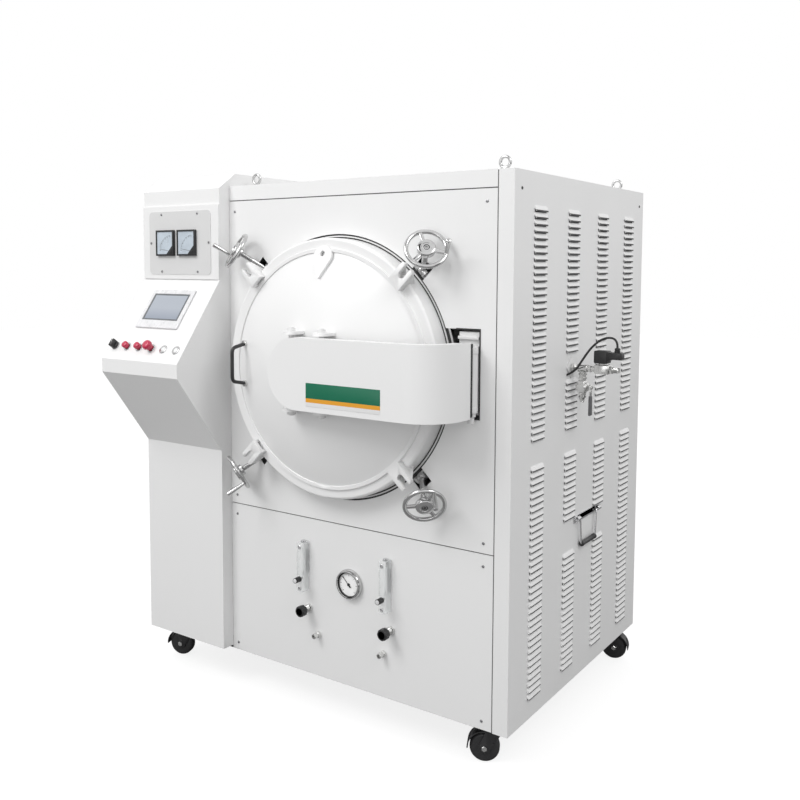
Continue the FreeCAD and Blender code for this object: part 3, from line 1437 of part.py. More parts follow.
def caster_fork(place, trail):
    """Kingpin, crown, two side plates, axle and the hood over the wheel."""
    race_low = -caster_pad_thickness - caster_race - fit_gap
    crown_low = race_low - caster_crown
    axle_z = -caster_height + caster_wheel_radius
    reach = caster_trail_length
    crown = rod(Vector(0, 0, crown_low), Z, caster_race_radius, caster_crown)
    kingpin = rod(Vector(0, 0, crown_low), Z, caster_kingpin, -crown_low - 1)
    gap = caster_wheel_width / 2 + 1.5
    parts = [crown, kingpin]
    for side in (-gap - caster_plate, gap):
        points = [(-22, side, crown_low + 2), (22, side, crown_low + 2), (reach + 16, side, axle_z),
                  (reach, side, axle_z - 15), (reach - 15, side, axle_z - 3)]
        parts.append(prism(points, Y * caster_plate))
        parts.append(rod(Vector(reach, side, axle_z), Y, 16, caster_plate))
    parts.append(box((-22, 22), (-gap - 1, gap + 1), (crown_low, crown_low + 2)))
    axle = rod(Vector(reach, -gap - caster_plate - 3, axle_z), Y, caster_axle, 2 * (gap + caster_plate + 3))
    heads = [rod(Vector(reach, y, axle_z), Y, 8, 3) for y in (-gap - caster_plate - 3, gap + caster_plate)]
    hood_in = caster_wheel_radius + caster_hood_gap
    hood = pipe(Vector(reach, -gap - caster_plate, axle_z), Y, hood_in + caster_hood_wall, hood_in,
                2 * (gap + caster_plate))
    keep = box((8, reach + hood_in + 10), (-60, 60), (axle_z - 2, crown_low + 3))
    hood = hood.common(keep)
    ribs = [box((8, 14), (y, y + caster_plate), (crown_low, crown_low + 3)) for y in (-gap - caster_plate, gap)]
    return caster_turn(join(parts + [axle, hood] + heads + ribs), place, trail)


def caster_wheel(place, trail):
    """A wheel with bevelled shoulders, bored for the axle."""
    half = caster_wheel_width / 2
    outer = caster_wheel_radius
    bore = caster_axle + running_gap
    points = [(bore, -half), (outer - 6, -half), (outer, -half + 6), (outer, half - 6), (outer - 6, half), (bore, half)]
    face = Part.Face(Part.makePolygon([Vector(r, w, 0) for r, w in points + points[:1]]))
    wheel = face.revolve(Vector(0, 0, 0), Y, 360)
    wheel.translate(Vector(caster_trail_length, 0, -caster_height + caster_wheel_radius))
    return caster_turn(wheel, place, trail)


def build():
    """Every node of the furnace by name."""
    nodes = {
        "base_frame": base_frame(),
        "console_shell": console_shell(),
        "console_hood": console_hood(),
        "meter_plate": meter_plate(),
        "panel_meters": panel_meters(),
        "touch_screen": touch_screen(),
        "button_collars": button_collars(),
        "selector_knob": selector_knob(),
        "heat_button": push_button(1),
        "stop_button": push_button(2),
        "emergency_stop": emergency_stop(),
        "front_upper_panel": front_upper_panel(),
        "front_lower_panel": front_lower_panel(),
        "right_side_panel": right_side_panel(),
        "top_cover": top_cover(),
        "rear_panel": rear_panel(),
        "panel_screws": panel_screws(),
        "eye_bolts": eye_bolts(),
        "chamber_shell": chamber_shell(),
        "door_seal": door_seal(),
        "insulation_lining": insulation_lining(),
        "heating_elements": heating_elements(),
        "door_flange": door_flange(),
        "clamp_brackets": clamp_brackets(),
        "door_dish": door_dish(),
        "door_lining": door_lining(),
        "door_handle": door_handle(),
        "arm_shroud": arm_shroud(),
        "swing_arm": swing_arm(),
        "hinge_bracket": hinge_bracket(),
        "flowmeters": flowmeters(),
        "gas_fittings": gas_fittings(),
        "pressure_gauge": pressure_gauge(),
        "gauge_needle": gauge_needle(),
        "vent_pipework": vent_pipework(),
        "solenoid_coil": solenoid_coil(),
        "solenoid_cable": solenoid_cable(),
        "ball_valve_lever": ball_valve_lever(),
        "side_handle_ears": side_handle_ears(),
        "bail_handle": bail_handle(),
    }
    for side, x, knob_x in zip(("left", "right"), flowmeter_places, valve_places):
        nodes["flow_knob_" + side] = flow_knob(x)
        nodes["valve_knob_" + side] = valve_knob(knob_x)
    for corner, angle in clamp_angles.items():
        nodes["swing_bolt_" + corner] = about_door(swing_bolt(), angle)
        nodes["handwheel_" + corner] = about_door(handwheel(crank_turns[corner]), angle)
    for corner, place in caster_places.items():
        nodes["caster_fork_" + corner] = caster_fork(place, caster_trail[corner])
        nodes["caster_wheel_" + corner] = caster_wheel(place, caster_trail[corner])
    return nodes


def footprint_middle(nodes):
    """The frame's origin: the middle of the furnace's footprint, on the floor."""
    limits = [shape.optimalBoundingBox(False) for name, shape in nodes.items() if name != "solenoid_cable"]
    x = (min(b.XMin for b in limits) + max(b.XMax for b in limits)) / 2
    y = (min(b.YMin for b in limits) + max(b.YMax for b in limits)) / 2
    return Vector(x, y, -caster_height)


os.makedirs("parts", exist_ok=True)
furnace = build()
origin = footprint_middle(furnace)
print("frame origin", origin)
for name, shape in furnace.items():
    shape.translate(origin * -1)
    shape.exportStep("parts/" + name + ".step")
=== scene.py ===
import json
import math
import bpy
from mathutils import Matrix, Vector


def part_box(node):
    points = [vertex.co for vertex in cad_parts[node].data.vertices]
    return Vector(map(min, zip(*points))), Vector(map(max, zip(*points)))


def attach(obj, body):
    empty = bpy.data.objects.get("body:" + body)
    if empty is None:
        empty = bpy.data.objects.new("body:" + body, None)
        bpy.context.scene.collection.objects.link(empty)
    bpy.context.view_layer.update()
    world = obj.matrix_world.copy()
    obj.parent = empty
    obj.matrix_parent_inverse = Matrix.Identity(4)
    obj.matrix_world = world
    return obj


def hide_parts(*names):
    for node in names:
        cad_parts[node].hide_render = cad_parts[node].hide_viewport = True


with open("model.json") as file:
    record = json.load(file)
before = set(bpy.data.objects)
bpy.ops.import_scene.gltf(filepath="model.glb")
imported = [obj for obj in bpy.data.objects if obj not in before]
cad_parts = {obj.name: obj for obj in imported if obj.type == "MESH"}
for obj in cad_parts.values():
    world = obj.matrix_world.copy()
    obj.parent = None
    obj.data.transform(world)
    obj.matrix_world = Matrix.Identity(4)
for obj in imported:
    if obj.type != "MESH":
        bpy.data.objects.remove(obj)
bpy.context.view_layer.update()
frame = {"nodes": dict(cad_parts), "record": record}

# The cabinet's front left foot. Places below are millimetres from it: x right, y back, z up.
mm = 0.001
foot = Vector(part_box("front_upper_panel")[0]) - Vector((0.5, 0, 468.5)) * mm
right, back, up = Vector((1, 0, 0)), Vector((0, 1, 0)), Vector((0, 0, 1))


def place(x, y, z):
    return foot + Vector((x, y, z)) * mm


def seat(point, across, along, out):
    # where a piece drawn in millimetres on its own axes goes on the furnace
    turn = Matrix((across, along, out)).transposed().to_4x4()
    return Matrix.Translation(place(*point)) @ turn @ Matrix.Scale(mm, 4)


def onFront(x, y, z):
    return seat((x, y, z), right, up, -back)


def onSide(x, y, z):
    return seat((x, y, z), back, up, right)


def onTop(x, y, z):
    return seat((x, y, z), right, back, up)


local = onTop(0, 0, 0)
cabinet = {"side": 961.0, "rear": 920.0, "top": 1440.0, "console": -48.5}
door = {"x": 416.0, "z": 914.0, "front": -52.0}
desk = {"topY": -42.0, "topZ": 1158.0, "footY": -219.0, "footZ": 915.0}
downDesk = Vector((0, desk["footY"] - desk["topY"], desk["footZ"] - desk["topZ"])).normalized()
offDesk = right.cross(-downDesk)


def onDesk(x, down):
    point = Vector((x, desk["topY"], desk["topZ"])) + downDesk * down
    return seat(point, right, -downDesk, offDesk)


# Modelling, as by hand

def clear():
    if bpy.context.mode != "OBJECT":
        bpy.ops.object.mode_set(mode="OBJECT")
    bpy.ops.object.select_all(action="DESELECT")


def choose(*objects):
    clear()
    for each in objects:
        each.select_set(True)
    bpy.context.view_layer.objects.active = objects[0]


def edit(piece):
    choose(piece)
    bpy.ops.object.mode_set(mode="EDIT")
    bpy.ops.mesh.select_all(action="DESELECT")


def done():
    bpy.ops.object.mode_set(mode="OBJECT")
    return bpy.context.object


def add(kind, **settings):
    clear()
    getattr(bpy.ops.mesh, "primitive_" + kind + "_add")(**settings)
    return bpy.context.object


def turned(outline, sides):
    # a turned piece: a disc drawn out and scaled step by step along z
    (radius, z), rest = outline[0], outline[1:]
    piece = add("circle", vertices=sides, radius=radius, fill_type="NGON", location=(0, 0, z))
    bpy.ops.object.transform_apply(location=True)
    bpy.ops.object.mode_set(mode="EDIT")
    bpy.ops.mesh.select_all(action="SELECT")
    for newRadius, newZ in rest:
        bpy.ops.mesh.extrude_region_move(TRANSFORM_OT_translate={"value": (0, 0, newZ - z)})
        grow = newRadius / radius
        bpy.ops.transform.resize(value=(grow, grow, 1), center_override=(0, 0, newZ))
        radius, z = newRadius, newZ
    return done()


def modify(piece, kind, **settings):
    choose(piece)
    modifier = piece.modifiers.new(kind.title(), kind)
    for key, value in settings.items():
        setattr(modifier, key, value)
    bpy.ops.object.modifier_apply(modifier=modifier.name)
    return piece


def soften(piece, width, segments=2, angle=35):
    return modify(piece, "BEVEL", width=width, segments=segments, limit_method="ANGLE",
                  angle_limit=math.radians(angle))


def block(size, centre=(0, 0, 0), round=1.0, segments=2):
    piece = add("cube", size=1, location=centre, scale=size)
    bpy.ops.object.transform_apply(location=True, scale=True)
    return soften(piece, round, segments) if round else piece


def shift(piece, offset=(0, 0, 0), turn=0.0, axis="Z"):
    choose(piece)
    turning = Matrix.Rotation(math.radians(turn), 4, axis)
    piece.matrix_world = Matrix.Translation(offset) @ turning @ piece.matrix_world
    bpy.ops.object.transform_apply(location=True, rotation=True, scale=True)
    return piece


def double(piece, offset=(0, 0, 0)):
    other = piece.copy()
    other.data = piece.data.copy()
    other.data.transform(Matrix.Translation(offset))
    bpy.context.collection.objects.link(other)
    return other


def joined(pieces):
    pieces = list(pieces)
    choose(*pieces)
    if len(pieces) > 1:
        bpy.ops.object.join()
    return bpy.context.object


def cut(piece, tool):
    modify(piece, "BOOLEAN", object=tool, operation="DIFFERENCE", solver="EXACT")
    bpy.data.objects.remove(tool)
    return piece


def rounded(points, radius):
    # the corners of a bent rod, each turned into a round bend
    steps = 6
    points = [Vector(p) for p in points]
    path = [points[0]]
    for before, corner, after in zip(points, points[1:], points[2:]):
        backward, onward = (before - corner).normalized(), (after - corner).normalized()
        start, end = corner + backward * radius, corner + onward * radius
        for step in range(steps + 1):
            t = step / steps
            path.append(start * (1 - t) ** 2 + corner * 2 * t * (1 - t) + end * t**2)
    return path + [points[-1]]


def bar(points, radius, sides):
    # a round bar along points
    curve = bpy.data.curves.new("bar", "CURVE")
    curve.dimensions = "3D"
    line = curve.splines.new("POLY")
    line.points.add(len(points) - 1)
    for spot, point in zip(line.points, points):
        spot.co = (*point, 1)
    curve.bevel_depth = radius
    curve.bevel_resolution = max(1, sides // 4 - 1)
    curve.use_fill_caps = True
    path = bpy.data.objects.new("bar", curve)
    bpy.context.collection.objects.link(path)
    choose(path)
    bpy.ops.object.convert(target="MESH")
    return bpy.context.object


def copyOf(node, width, segments=2, angle=35):
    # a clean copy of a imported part: its triangles merged, its sharp edges broken
    piece = bpy.data.objects.new(node, frame["nodes"][node].data.copy())
    bpy.context.collection.objects.link(piece)
    edit(piece)
    bpy.ops.mesh.select_all(action="SELECT")
    bpy.ops.mesh.remove_doubles(threshold=0.00001)
    bpy.ops.mesh.dissolve_limited(angle_limit=math.radians(0.3))
    done()
    return soften(piece, width, segments, angle) if width else piece


def finish(piece, name, body, paint, seatAt=None, replaces=(), angle=35):
    # puts the piece in its place, cleans its surface and says what it rides on
    choose(piece)
    piece.name = name
    piece.data.name = name
    if seatAt is not None:
        piece.matrix_world = seatAt @ piece.matrix_world
    bpy.ops.object.transform_apply(location=True, rotation=True, scale=True)
    bpy.ops.object.mode_set(mode="EDIT")
    bpy.ops.mesh.select_all(action="SELECT")
    bpy.ops.mesh.remove_doubles(threshold=0.00001)
    bpy.ops.mesh.normals_make_consistent(inside=False)
    bpy.ops.object.mode_set(mode="OBJECT")
    bpy.ops.object.shade_smooth_by_angle(angle=math.radians(angle))
    piece.data.materials.clear()
    piece.data.materials.append(paint.material)
    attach(piece, body)
    if replaces:
        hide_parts(*replaces)
    return piece


def hollow(radius, bore, bottom, top, sides, edge):
    # a ring with softened edges
    piece = turned([(radius, bottom), (radius, top)], sides)
    cut(piece, turned([(bore, bottom - 5), (bore, top + 5)], sides))
    return soften(piece, edge)


def hexNut(across, tall):
    corner = across / math.sqrt(3)
    return turned([(across * 0.5, 0), (corner, 1), (corner, tall - 1), (across * 0.5, tall)], 6)


def thread(radius, start, stop, pitch):
    # ridges as an outline for turned()
    steps = int((stop - start) / pitch)
    outline = []
    for number in range(steps):
        z = start + number * pitch
        outline += [(radius - pitch * 0.45, z), (radius, z + pitch * 0.5)]
    return outline + [(radius - pitch * 0.45, start + steps * pitch)]


def strip(start, end, width, thick, lift):
    # a thin flat mark between two points of a face
    a, b = Vector((*start, 0)), Vector((*end, 0))
    middle, run = (a + b) / 2, b - a
    mark = add("cube", size=1, scale=(run.length, width, thick))
    bpy.ops.object.transform_apply(scale=True)
    return shift(mark, (middle.x, middle.y, lift + thick / 2), math.degrees(math.atan2(run.y, run.x)))


def around(radius, degrees):
    return (radius * math.cos(math.radians(degrees)), radius * math.sin(math.radians(degrees)))


def aimed(piece, way):
    # turns a piece drawn along z to point right (x), back (y), forward (-y) or down (-z)
    turn, axis = {"x": (90, "Y"), "y": (-90, "X"), "-y": (90, "X"), "-z": (180, "X")}[way]
    return shift(piece, turn=turn, axis=axis)


# Materials

class Wire:
    # a socket that sums can be written with
    def __init__(self, maker, socket):
        self.maker, self.socket = maker, socket

    def sum(self, operation, *values):
        return self.maker.node("Math", {"operation": operation}, dict(enumerate(values)))

    def __add__(self, other):
        return self.sum("ADD", self, other)

    def __sub__(self, other):
        return self.sum("SUBTRACT", self, other)

    def __rsub__(self, other):
        return self.sum("SUBTRACT", other, self)

    def __mul__(self, other):
        return self.sum("MULTIPLY", self, other)

    def __gt__(self, other):
        return self.sum("GREATER_THAN", self, other)

    def __lt__(self, other):
        return self.sum("LESS_THAN", self, other)


class Finish:
    # one material: its shader's fixed values, and any other node through node()
    def __init__(self, name, **values):
        self.material = bpy.data.materials.new(name)
        self.material.use_nodes = True
        self.tree = self.material.node_tree
        self.shader = self.tree.nodes["Principled BSDF"]
        for key, value in values.items():
            self.shader.inputs[key.replace("_", " ")].default_value = value
        self.where = self.node("TexCoord", output="Object")

    def node(self, kind, settings=None, sockets=None, output=0):
        made = self.tree.nodes.new("ShaderNode" + kind)
        for key, value in (settings or {}).items():
            if key == "stops":
                stops = made.color_ramp.elements
                while len(stops) < len(value):
                    stops.new(0.5)
                for stop, (spot, colour) in zip(stops, value):
                    stop.position, stop.color = spot, colour
            elif key == "interpolation":
                made.color_ramp.interpolation = value
            else:
                setattr(made, key, value)
        for key, value in (sockets or {}).items():
            if isinstance(value, Wire):
                self.tree.links.new(value.socket, made.inputs[key])
            else:
                made.inputs[key].default_value = value
        return Wire(self, made.outputs[output])

    def noise(self, scale, detail=2.0, rough=0.5, stretch=(1, 1, 1)):
        where = self.where
        if stretch != (1, 1, 1):
            where = self.node("Mapping", None, {"Vector": where, "Scale": stretch})
        return self.node("TexNoise", None,
                         {"Vector": where, "Scale": scale, "Detail": detail, "Roughness": rough})

    def between(self, amount, low, high):
        return self.node("MapRange", None,
                         {"Value": amount, "From Min": 0.3, "From Max": 0.7, "To Min": low, "To Max": high})

    def colours(self, amount, stops, interpolation="LINEAR"):
        return self.node("ValToRGB", {"stops": stops, "interpolation": interpolation}, {"Fac": amount})

    def mix(self, amount, first, second):
        return self.node("Mix", {"data_type": "RGBA"}, {0: amount, 6: first, 7: second}, output=2)

    def split(self):
        made = self.node("SeparateXYZ", None, {0: self.where})
        outputs = made.socket.node.outputs
        return [Wire(self, each) for each in outputs]

    def feed(self, **wires):
        for key, wire in wires.items():
            self.tree.links.new(wire.socket, self.shader.inputs[key.replace("_", " ")])
        return self

    def bump(self, height, strength, distance):
        made = self.node("Bump", None, {"Height": height, "Strength": strength, "Distance": distance})
        return self.feed(Normal=made)


def grey(level):
    return (level, level, level, 1)


def coatedSheet(name, level, rough=0.42, peel=0.12):
    # powder-coated sheet: a faint orange peel and slightly uneven tone
    look = Finish(name, Roughness=rough, **{"Coat_Weight": 0.12, "Coat_Roughness": 0.25})
    patch = look.noise(2.2, 3.0, 0.55)
    fine = look.noise(420.0, 2.0, 0.5)
    low = (level - 0.004, level - 0.004, level - 0.005, 1)
    high = grey(level + 0.004)
    look.feed(Base_Color=look.colours(patch, [(0.2, low), (0.8, high)]))
    look.feed(Roughness=look.between(look.noise(6.0, 3.0), rough - 0.05, rough + 0.06))
    return look.bump(fine, peel, 0.0002)


def metal(name, colour, rough, strength=0.05):
    # bare metal: fine tooling marks and slightly uneven shine
    look = Finish(name, Metallic=1.0, Roughness=rough)
    marks = look.noise(240.0, 2.0, 0.6, (1, 1, 6))
    wipe = look.noise(35.0, 3.0, 0.6)
    dark = tuple(c * 0.9 for c in colour[:3]) + (1,)
    look.feed(Base_Color=look.colours(wipe, [(0.3, dark), (0.6, colour)]))
    look.feed(Roughness=look.between(wipe, rough * 0.75, rough * 1.35))
    return look.bump(marks, strength, 0.00008)


def plastic(name, colour, rough, grainSize=1600.0, strength=0.15, coat=0.0):
    look = Finish(name, Roughness=rough, Coat_Weight=coat)
    tone = look.noise(24.0, 3.0, 0.6)
    lighter = tuple(min(1.0, c * 1.18 + 0.004) for c in colour[:3]) + (1,)
    look.feed(Base_Color=look.colours(tone, [(0.35, colour), (0.7, lighter)]))
    look.feed(Roughness=look.between(look.noise(60.0), rough - 0.04, rough + 0.06))
    return look.bump(look.noise(grainSize, 2.0), strength, 0.00006)


sheetPaint = coatedSheet("cabinet_paint", 0.80)
doorPaint = coatedSheet("door_paint", 0.81, rough=0.34, peel=0.08)
framePaint = coatedSheet("frame_paint", 0.10, rough=0.5)
steel = metal("polished_steel", (0.60, 0.60, 0.60, 1), 0.13)
chrome = metal("chrome", (0.70, 0.70, 0.71, 1), 0.07, strength=0.02)
darkSteel = metal("dark_steel", (0.34, 0.34, 0.35, 1), 0.32)
brightSteel = metal("bright_fittings", (0.74, 0.74, 0.73, 1), 0.2)
black = plastic("black_plastic", (0.016, 0.016, 0.017, 1), 0.36)
blackPaint = plastic("black_paint", (0.02, 0.02, 0.021, 1), 0.3, 300.0, 0.1, 0.2)
red = plastic("red_plastic", (0.42, 0.010, 0.05, 1), 0.26, coat=0.4)
hingePaint = coatedSheet("hinge_paint", 0.72, rough=0.4)
# painted shade for the louvre openings under the hoods' lips
paintedMouthShade = plastic("louvre_shade", (0.07, 0.07, 0.072, 1), 0.7, 500.0, 0.1)
backGrey = plastic("scale_plate", (0.22, 0.22, 0.225, 1), 0.4, 900.0, 0.05)
sleeveGrey = plastic("lever_sleeve", (0.10, 0.10, 0.105, 1), 0.45, 900.0, 0.15)
rubber = plastic("seal_rubber", (0.024, 0.024, 0.025, 1), 0.6, 900.0, 0.3)
sheath = plastic("cable_sheath", (0.018, 0.018, 0.019, 1), 0.45, 1200.0, 0.2)
tread = plastic("caster_tread", (0.02, 0.02, 0.021, 1), 0.5, 500.0, 0.3)
plateGrey = coatedSheet("meter_plate_paint", 0.66, rough=0.35)
boards = plastic("ceramic_board", (0.82, 0.8, 0.74, 1), 0.9, 260.0, 0.5)
rods = plastic("heating_rod", (0.12, 0.12, 0.125, 1), 0.6, 400.0, 0.4)
dialWhite = plastic("dial_white", (0.86, 0.86, 0.85, 1), 0.4, 900.0, 0.04)
ink = plastic("dial_ink", (0.015, 0.015, 0.016, 1), 0.5, 900.0, 0.05)
silverPlastic = plastic("silver_plastic", (0.62, 0.62, 0.63, 1), 0.28, 1200.0, 0.08)
meterFace = plastic("meter_face", (0.50, 0.56, 0.62, 1), 0.22, 900.0, 0.03, 0.5)
lensWhite = plastic("lens_white", (0.72, 0.73, 0.73, 1), 0.18, 600.0, 0.05, 0.4)
capGrey = plastic("cap_grey", (0.055, 0.055, 0.057, 1), 0.5, 900.0, 0.1)
screenGlass = plastic("screen_glass", (0.10, 0.11, 0.12, 1), 0.16, 500.0, 0.02, 0.6)
screenPicture = Finish("screen_picture", Roughness=0.12, Coat_Weight=0.6)
screenHeight = screenPicture.split()[2]
# the picture's colour grows lighter towards the top of the screen
screenPicture.feed(Base_Color=screenPicture.colours((screenHeight - place(0, 0, 980).z) * (1 / 0.09), [
    (0.0, (0.15, 0.17, 0.21, 1)), (0.6, (0.22, 0.25, 0.31, 1)), (1.0, (0.34, 0.37, 0.42, 1))]))
screenPicture.feed(Roughness=screenPicture.between(screenPicture.noise(30.0), 0.1, 0.2))
acrylic = Finish("clear_acrylic", Base_Color=(0.90, 0.92, 0.92, 1), IOR=1.46)
acrylic.feed(Roughness=acrylic.between(acrylic.noise(40.0), 0.04, 0.1),
             Alpha=acrylic.between(acrylic.noise(14.0), 0.30, 0.33))

# The vessel: bare steel, its flange painted dark as shade where the door's gap shows it
vessel = Finish("vessel_steel")
vx, vy, vz = vessel.split()
gapShade = {"inner": 0.3585, "outer": 0.3795, "behind": 20.0}
middle = place(door["x"], gapShade["behind"], door["z"])
fromX, fromZ = vx - middle.x, vz - middle.z
reachSquare = fromX * fromX + fromZ * fromZ
# painted shade: a dark, non-metal ring on the flange inside the door's gap
gap = (reachSquare > gapShade["inner"] ** 2) * (reachSquare < gapShade["outer"] ** 2) * (vy < middle.y)
vessel.feed(Base_Color=vessel.mix(gap, (0.58, 0.58, 0.58, 1), grey(0.02)), Metallic=1.0 - gap,
            Roughness=vessel.between(vessel.noise(30.0), 0.26, 0.4))
vessel.bump(vessel.noise(240.0, 2.0, 0.6, (1, 6, 1)), 0.05, 0.00008)

slotLooks = {
    "cabinet_paint": sheetPaint, "frame_steel": framePaint, "stainless": steel, "chrome": chrome,
    "black_plastic": black, "red_plastic": red, "clear_acrylic": acrylic, "ceramic_board": boards,
    "heater": rods, "seal_rubber": rubber, "white_panel": plateGrey, "cable_sheath": sheath,
    "caster_tread": tread, "caster_paint": blackPaint,
}
nodeLooks = {
    "door_flange": doorPaint, "door_dish": doorPaint, "clamp_brackets": doorPaint, "swing_arm": hingePaint,
    "hinge_bracket": hingePaint, "meter_plate": plateGrey, "vent_pipework": steel,
    "ball_valve_lever": darkSteel, "chamber_shell": vessel, "solenoid_coil": black,
}
slotOf = {entry["node"]: entry["material_slot"] for entry in frame["record"]["subparts"]}
for name, node in frame["nodes"].items():
    look = nodeLooks.get(name) or slotLooks.get(slotOf.get(name), sheetPaint)
    for spot in node.material_slots:
        spot.material = look.material
print("materials on", len(frame["nodes"]), "nodes, by slot", len(slotOf))

# Camera, where the photograph was taken from
camera = bpy.data.objects.new("camera", bpy.data.cameras.new("camera"))
bpy.context.collection.objects.link(camera)
camera.location = place(1977.2, -2013.1, 1199.9)
camera.rotation_euler = [math.radians(a) for a in (85.639, -0.185, 34.860)]
camera.data.lens = 40.91
camera.data.sensor_width = 36.0
camera.data.shift_x, camera.data.shift_y = 0.0195, -0.0806
camera.data.clip_end = 50
bpy.context.scene.camera = camera
bpy.context.scene.view_settings.view_transform = "Standard"

# The solenoid's lead: out of the gland, over and down through the side sheet
lead = {"radius": 0.003, "length": 0.2088, "route": (
    (1095.0, 358.0, 982.0), (1095.0, 358.0, 1005.0), (1062.0, 354.0, 1010.0), (1028.0, 346.0, 984.0),
    (1003.0, 340.0, 945.0), (984.0, 335.5, 912.0), (957.0, 334.0, 899.0))}
line = bpy.data.curves.new("solenoid_lead", "CURVE")
line.dimensions = "3D"
spline = line.splines.new("NURBS")
spline.points.add(len(lead["route"]) - 1)
for spot, point in zip(spline.points, lead["route"]):
    spot.co = (*place(*point), 1)
spline.order_u = 3
spline.use_endpoint_u = True
spline.resolution_u = 12
line.bevel_depth = lead["radius"]
line.bevel_resolution = 4
line.use_fill_caps = True
cable = bpy.data.objects.new("solenoid_lead", line)
bpy.context.collection.objects.link(cable)
line.materials.append(sheath.material)
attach(cable, "cabinet")
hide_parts("solenoid_cable")
print("camera and cable")

# Floor, backdrop light and lamps
studio = {"fill": 0.80, "key": 88.0, "side": 44.0, "low": 16.0, "keySize": 2.0, "floor": 0.24}
ground = add("plane", size=30, location=(0, 0, 0))
ground.name = "floor"
floorLook = Finish("floor", Base_Color=grey(studio["floor"]), Roughness=0.9)
path = floorLook.node("LightPath", output="Is Camera Ray")
floorLook.shader.inputs["Emission Strength"].default_value = 1.0
floorLook.feed(Emission_Color=floorLook.mix(path, grey(0.0), grey(0.82)))
ground.data.materials.append(floorLook.material)

world = bpy.data.worlds.new("studio")
bpy.context.scene.world = world
world.use_nodes = True
tree = world.node_tree
paths = tree.nodes.new("ShaderNodeLightPath")
seen = tree.nodes.new("ShaderNodeMath")
seen.operation = "MAXIMUM"
tree.links.new(paths.outputs["Is Camera Ray"], seen.inputs[0])
glossy = tree.nodes.new("ShaderNodeMath")
glossy.operation = "MAXIMUM"
tree.links.new(paths.outputs["Is Glossy Ray"], glossy.inputs[0])
tree.links.new(paths.outputs["Is Transmission Ray"], glossy.inputs[1])
tree.links.new(glossy.outputs[0], seen.inputs[1])
level = tree.nodes.new("ShaderNodeMapRange")
level.inputs["To Min"].default_value = studio["fill"]
level.inputs["To Max"].default_value = 1.0
tree.links.new(seen.outputs[0], level.inputs["Value"])
tree.links.new(level.outputs[0], tree.nodes["Background"].inputs["Strength"])
tree.nodes["Background"].inputs["Color"].default_value = grey(1.0)


def lamp(name, spot, aim, size, power):
    light = bpy.data.lights.new(name, "AREA")
    light.size, light.energy = size, power
    holder = bpy.data.objects.new(name, light)
    bpy.context.collection.objects.link(holder)
    holder.location = spot
    holder.rotation_euler = (Vector(aim) - Vector(spot)).to_track_quat("-Z", "Y").to_euler()


lamp("key", (-1.3, -3.2, 3.9), (0, 0, 0.7), studio["keySize"], studio["key"])
lamp("side", (3.4, -0.8, 3.7), (0.5, 0, 0.8), 1.6, studio["side"])
lamp("low", (0.3, -4.4, 0.9), (0, 0, 0.3), 2.0, studio["low"])


def darkCard(name, spot, wide, tall):
    # a dark card that only shiny surfaces see, to give the metal its contrast
    card = add("plane", size=1, location=spot, scale=(wide, tall, 1))
    card.rotation_euler = (Vector((0, 0, 0.7)) - Vector(spot)).to_track_quat("Z", "Y").to_euler()
    card.name = name
    card.data.materials.append(cardLook.material)
    card.visible_camera = card.visible_diffuse = card.visible_shadow = card.visible_transmission = False


cardLook = Finish("dark_card", Base_Color=grey(0.01), Roughness=1.0)
for name, spot, wide, tall in (("card_left", (-2.6, -2.4, 1.4), 0.7, 2.6),
                               ("card_right", (2.9, -1.2, 1.5), 0.6, 2.4),
                               ("card_front", (0.5, -3.6, 0.6), 0.9, 0.7),
                               ("card_above", (0.4, -1.6, 3.2), 2.2, 0.5)):
    darkCard(name, spot, wide, tall)
print("stage")

# Arm placard: a generic banded plate
placard = {"left": 453.0, "right": 692.0, "low": 832.0, "high": 894.0, "thick": 0.8, "y": -185.0}
wide, high = placard["right"] - placard["left"], placard["high"] - placard["low"]
plate = block((wide, high, placard["thick"]), (0, 0, placard["thick"] / 2), 0.25)
bands = Finish("placard", Roughness=0.35)
heights = bands.split()[2]
lowZ = place(0, 0, placard["low"]).z
share = (heights - lowZ) * (1 / (high * mm))
bands.feed(Base_Color=bands.colours(share, [
    (0.0, (0.82, 0.82, 0.82, 1)), (0.17, (0.80, 0.36, 0.03, 1)), (0.34, (0.0, 0.135, 0.068, 1))],
    "CONSTANT"))
bands.feed(Roughness=bands.between(bands.noise(60.0), 0.28, 0.42))
finish(plate, "arm_placard", "door", bands,
       onFront((placard["left"] + placard["right"]) / 2, placard["y"],
               (placard["low"] + placard["high"]) / 2))
print("placard")

# Handwheels, drawn flat and set on their swung-out bolts
wheel = {"reach": 52.0, "rim": 6.0, "hub": 24.0, "hubBack": 7.5, "hubFront": 10.0, "boss": 17.0,
         "bossBack": 16.5, "bore": 8.3, "spokeWide": 11.0, "spokes": 3, "spokeRoot": 16.0,
         "spokeTaper": 0.82, "spokeThick": 8.0, "crank": 60.0, "crankFoot": 5.0, "crankTip": 6.5}
# each clamp's place round the door and where its wheel's crank stands, in degrees
clamps = {"upper_right": (45, 222), "upper_left": (135, 322), "lower_left": (225, 25),
          "lower_right": (315, 10)}
clamp = {"pivot": 388.0, "pivotY": 13.0, "swung": 47.0, "wheelOut": 107.0}
swungOut = math.radians(clamp["swung"])
boltWay = Vector((math.sin(swungOut), -math.cos(swungOut), 0))
pivot = Vector((door["x"] + clamp["pivot"], clamp["pivotY"], door["z"]))


def aboutDoor(angle, point, across, along, out):
    turn = Matrix.Rotation(-math.radians(angle), 4, "Y")
    centre = Vector((door["x"], 0, door["z"]))
    spot = turn @ (Vector(point) - centre) + centre
    return seat(spot, turn @ across, turn @ along, turn @ out)


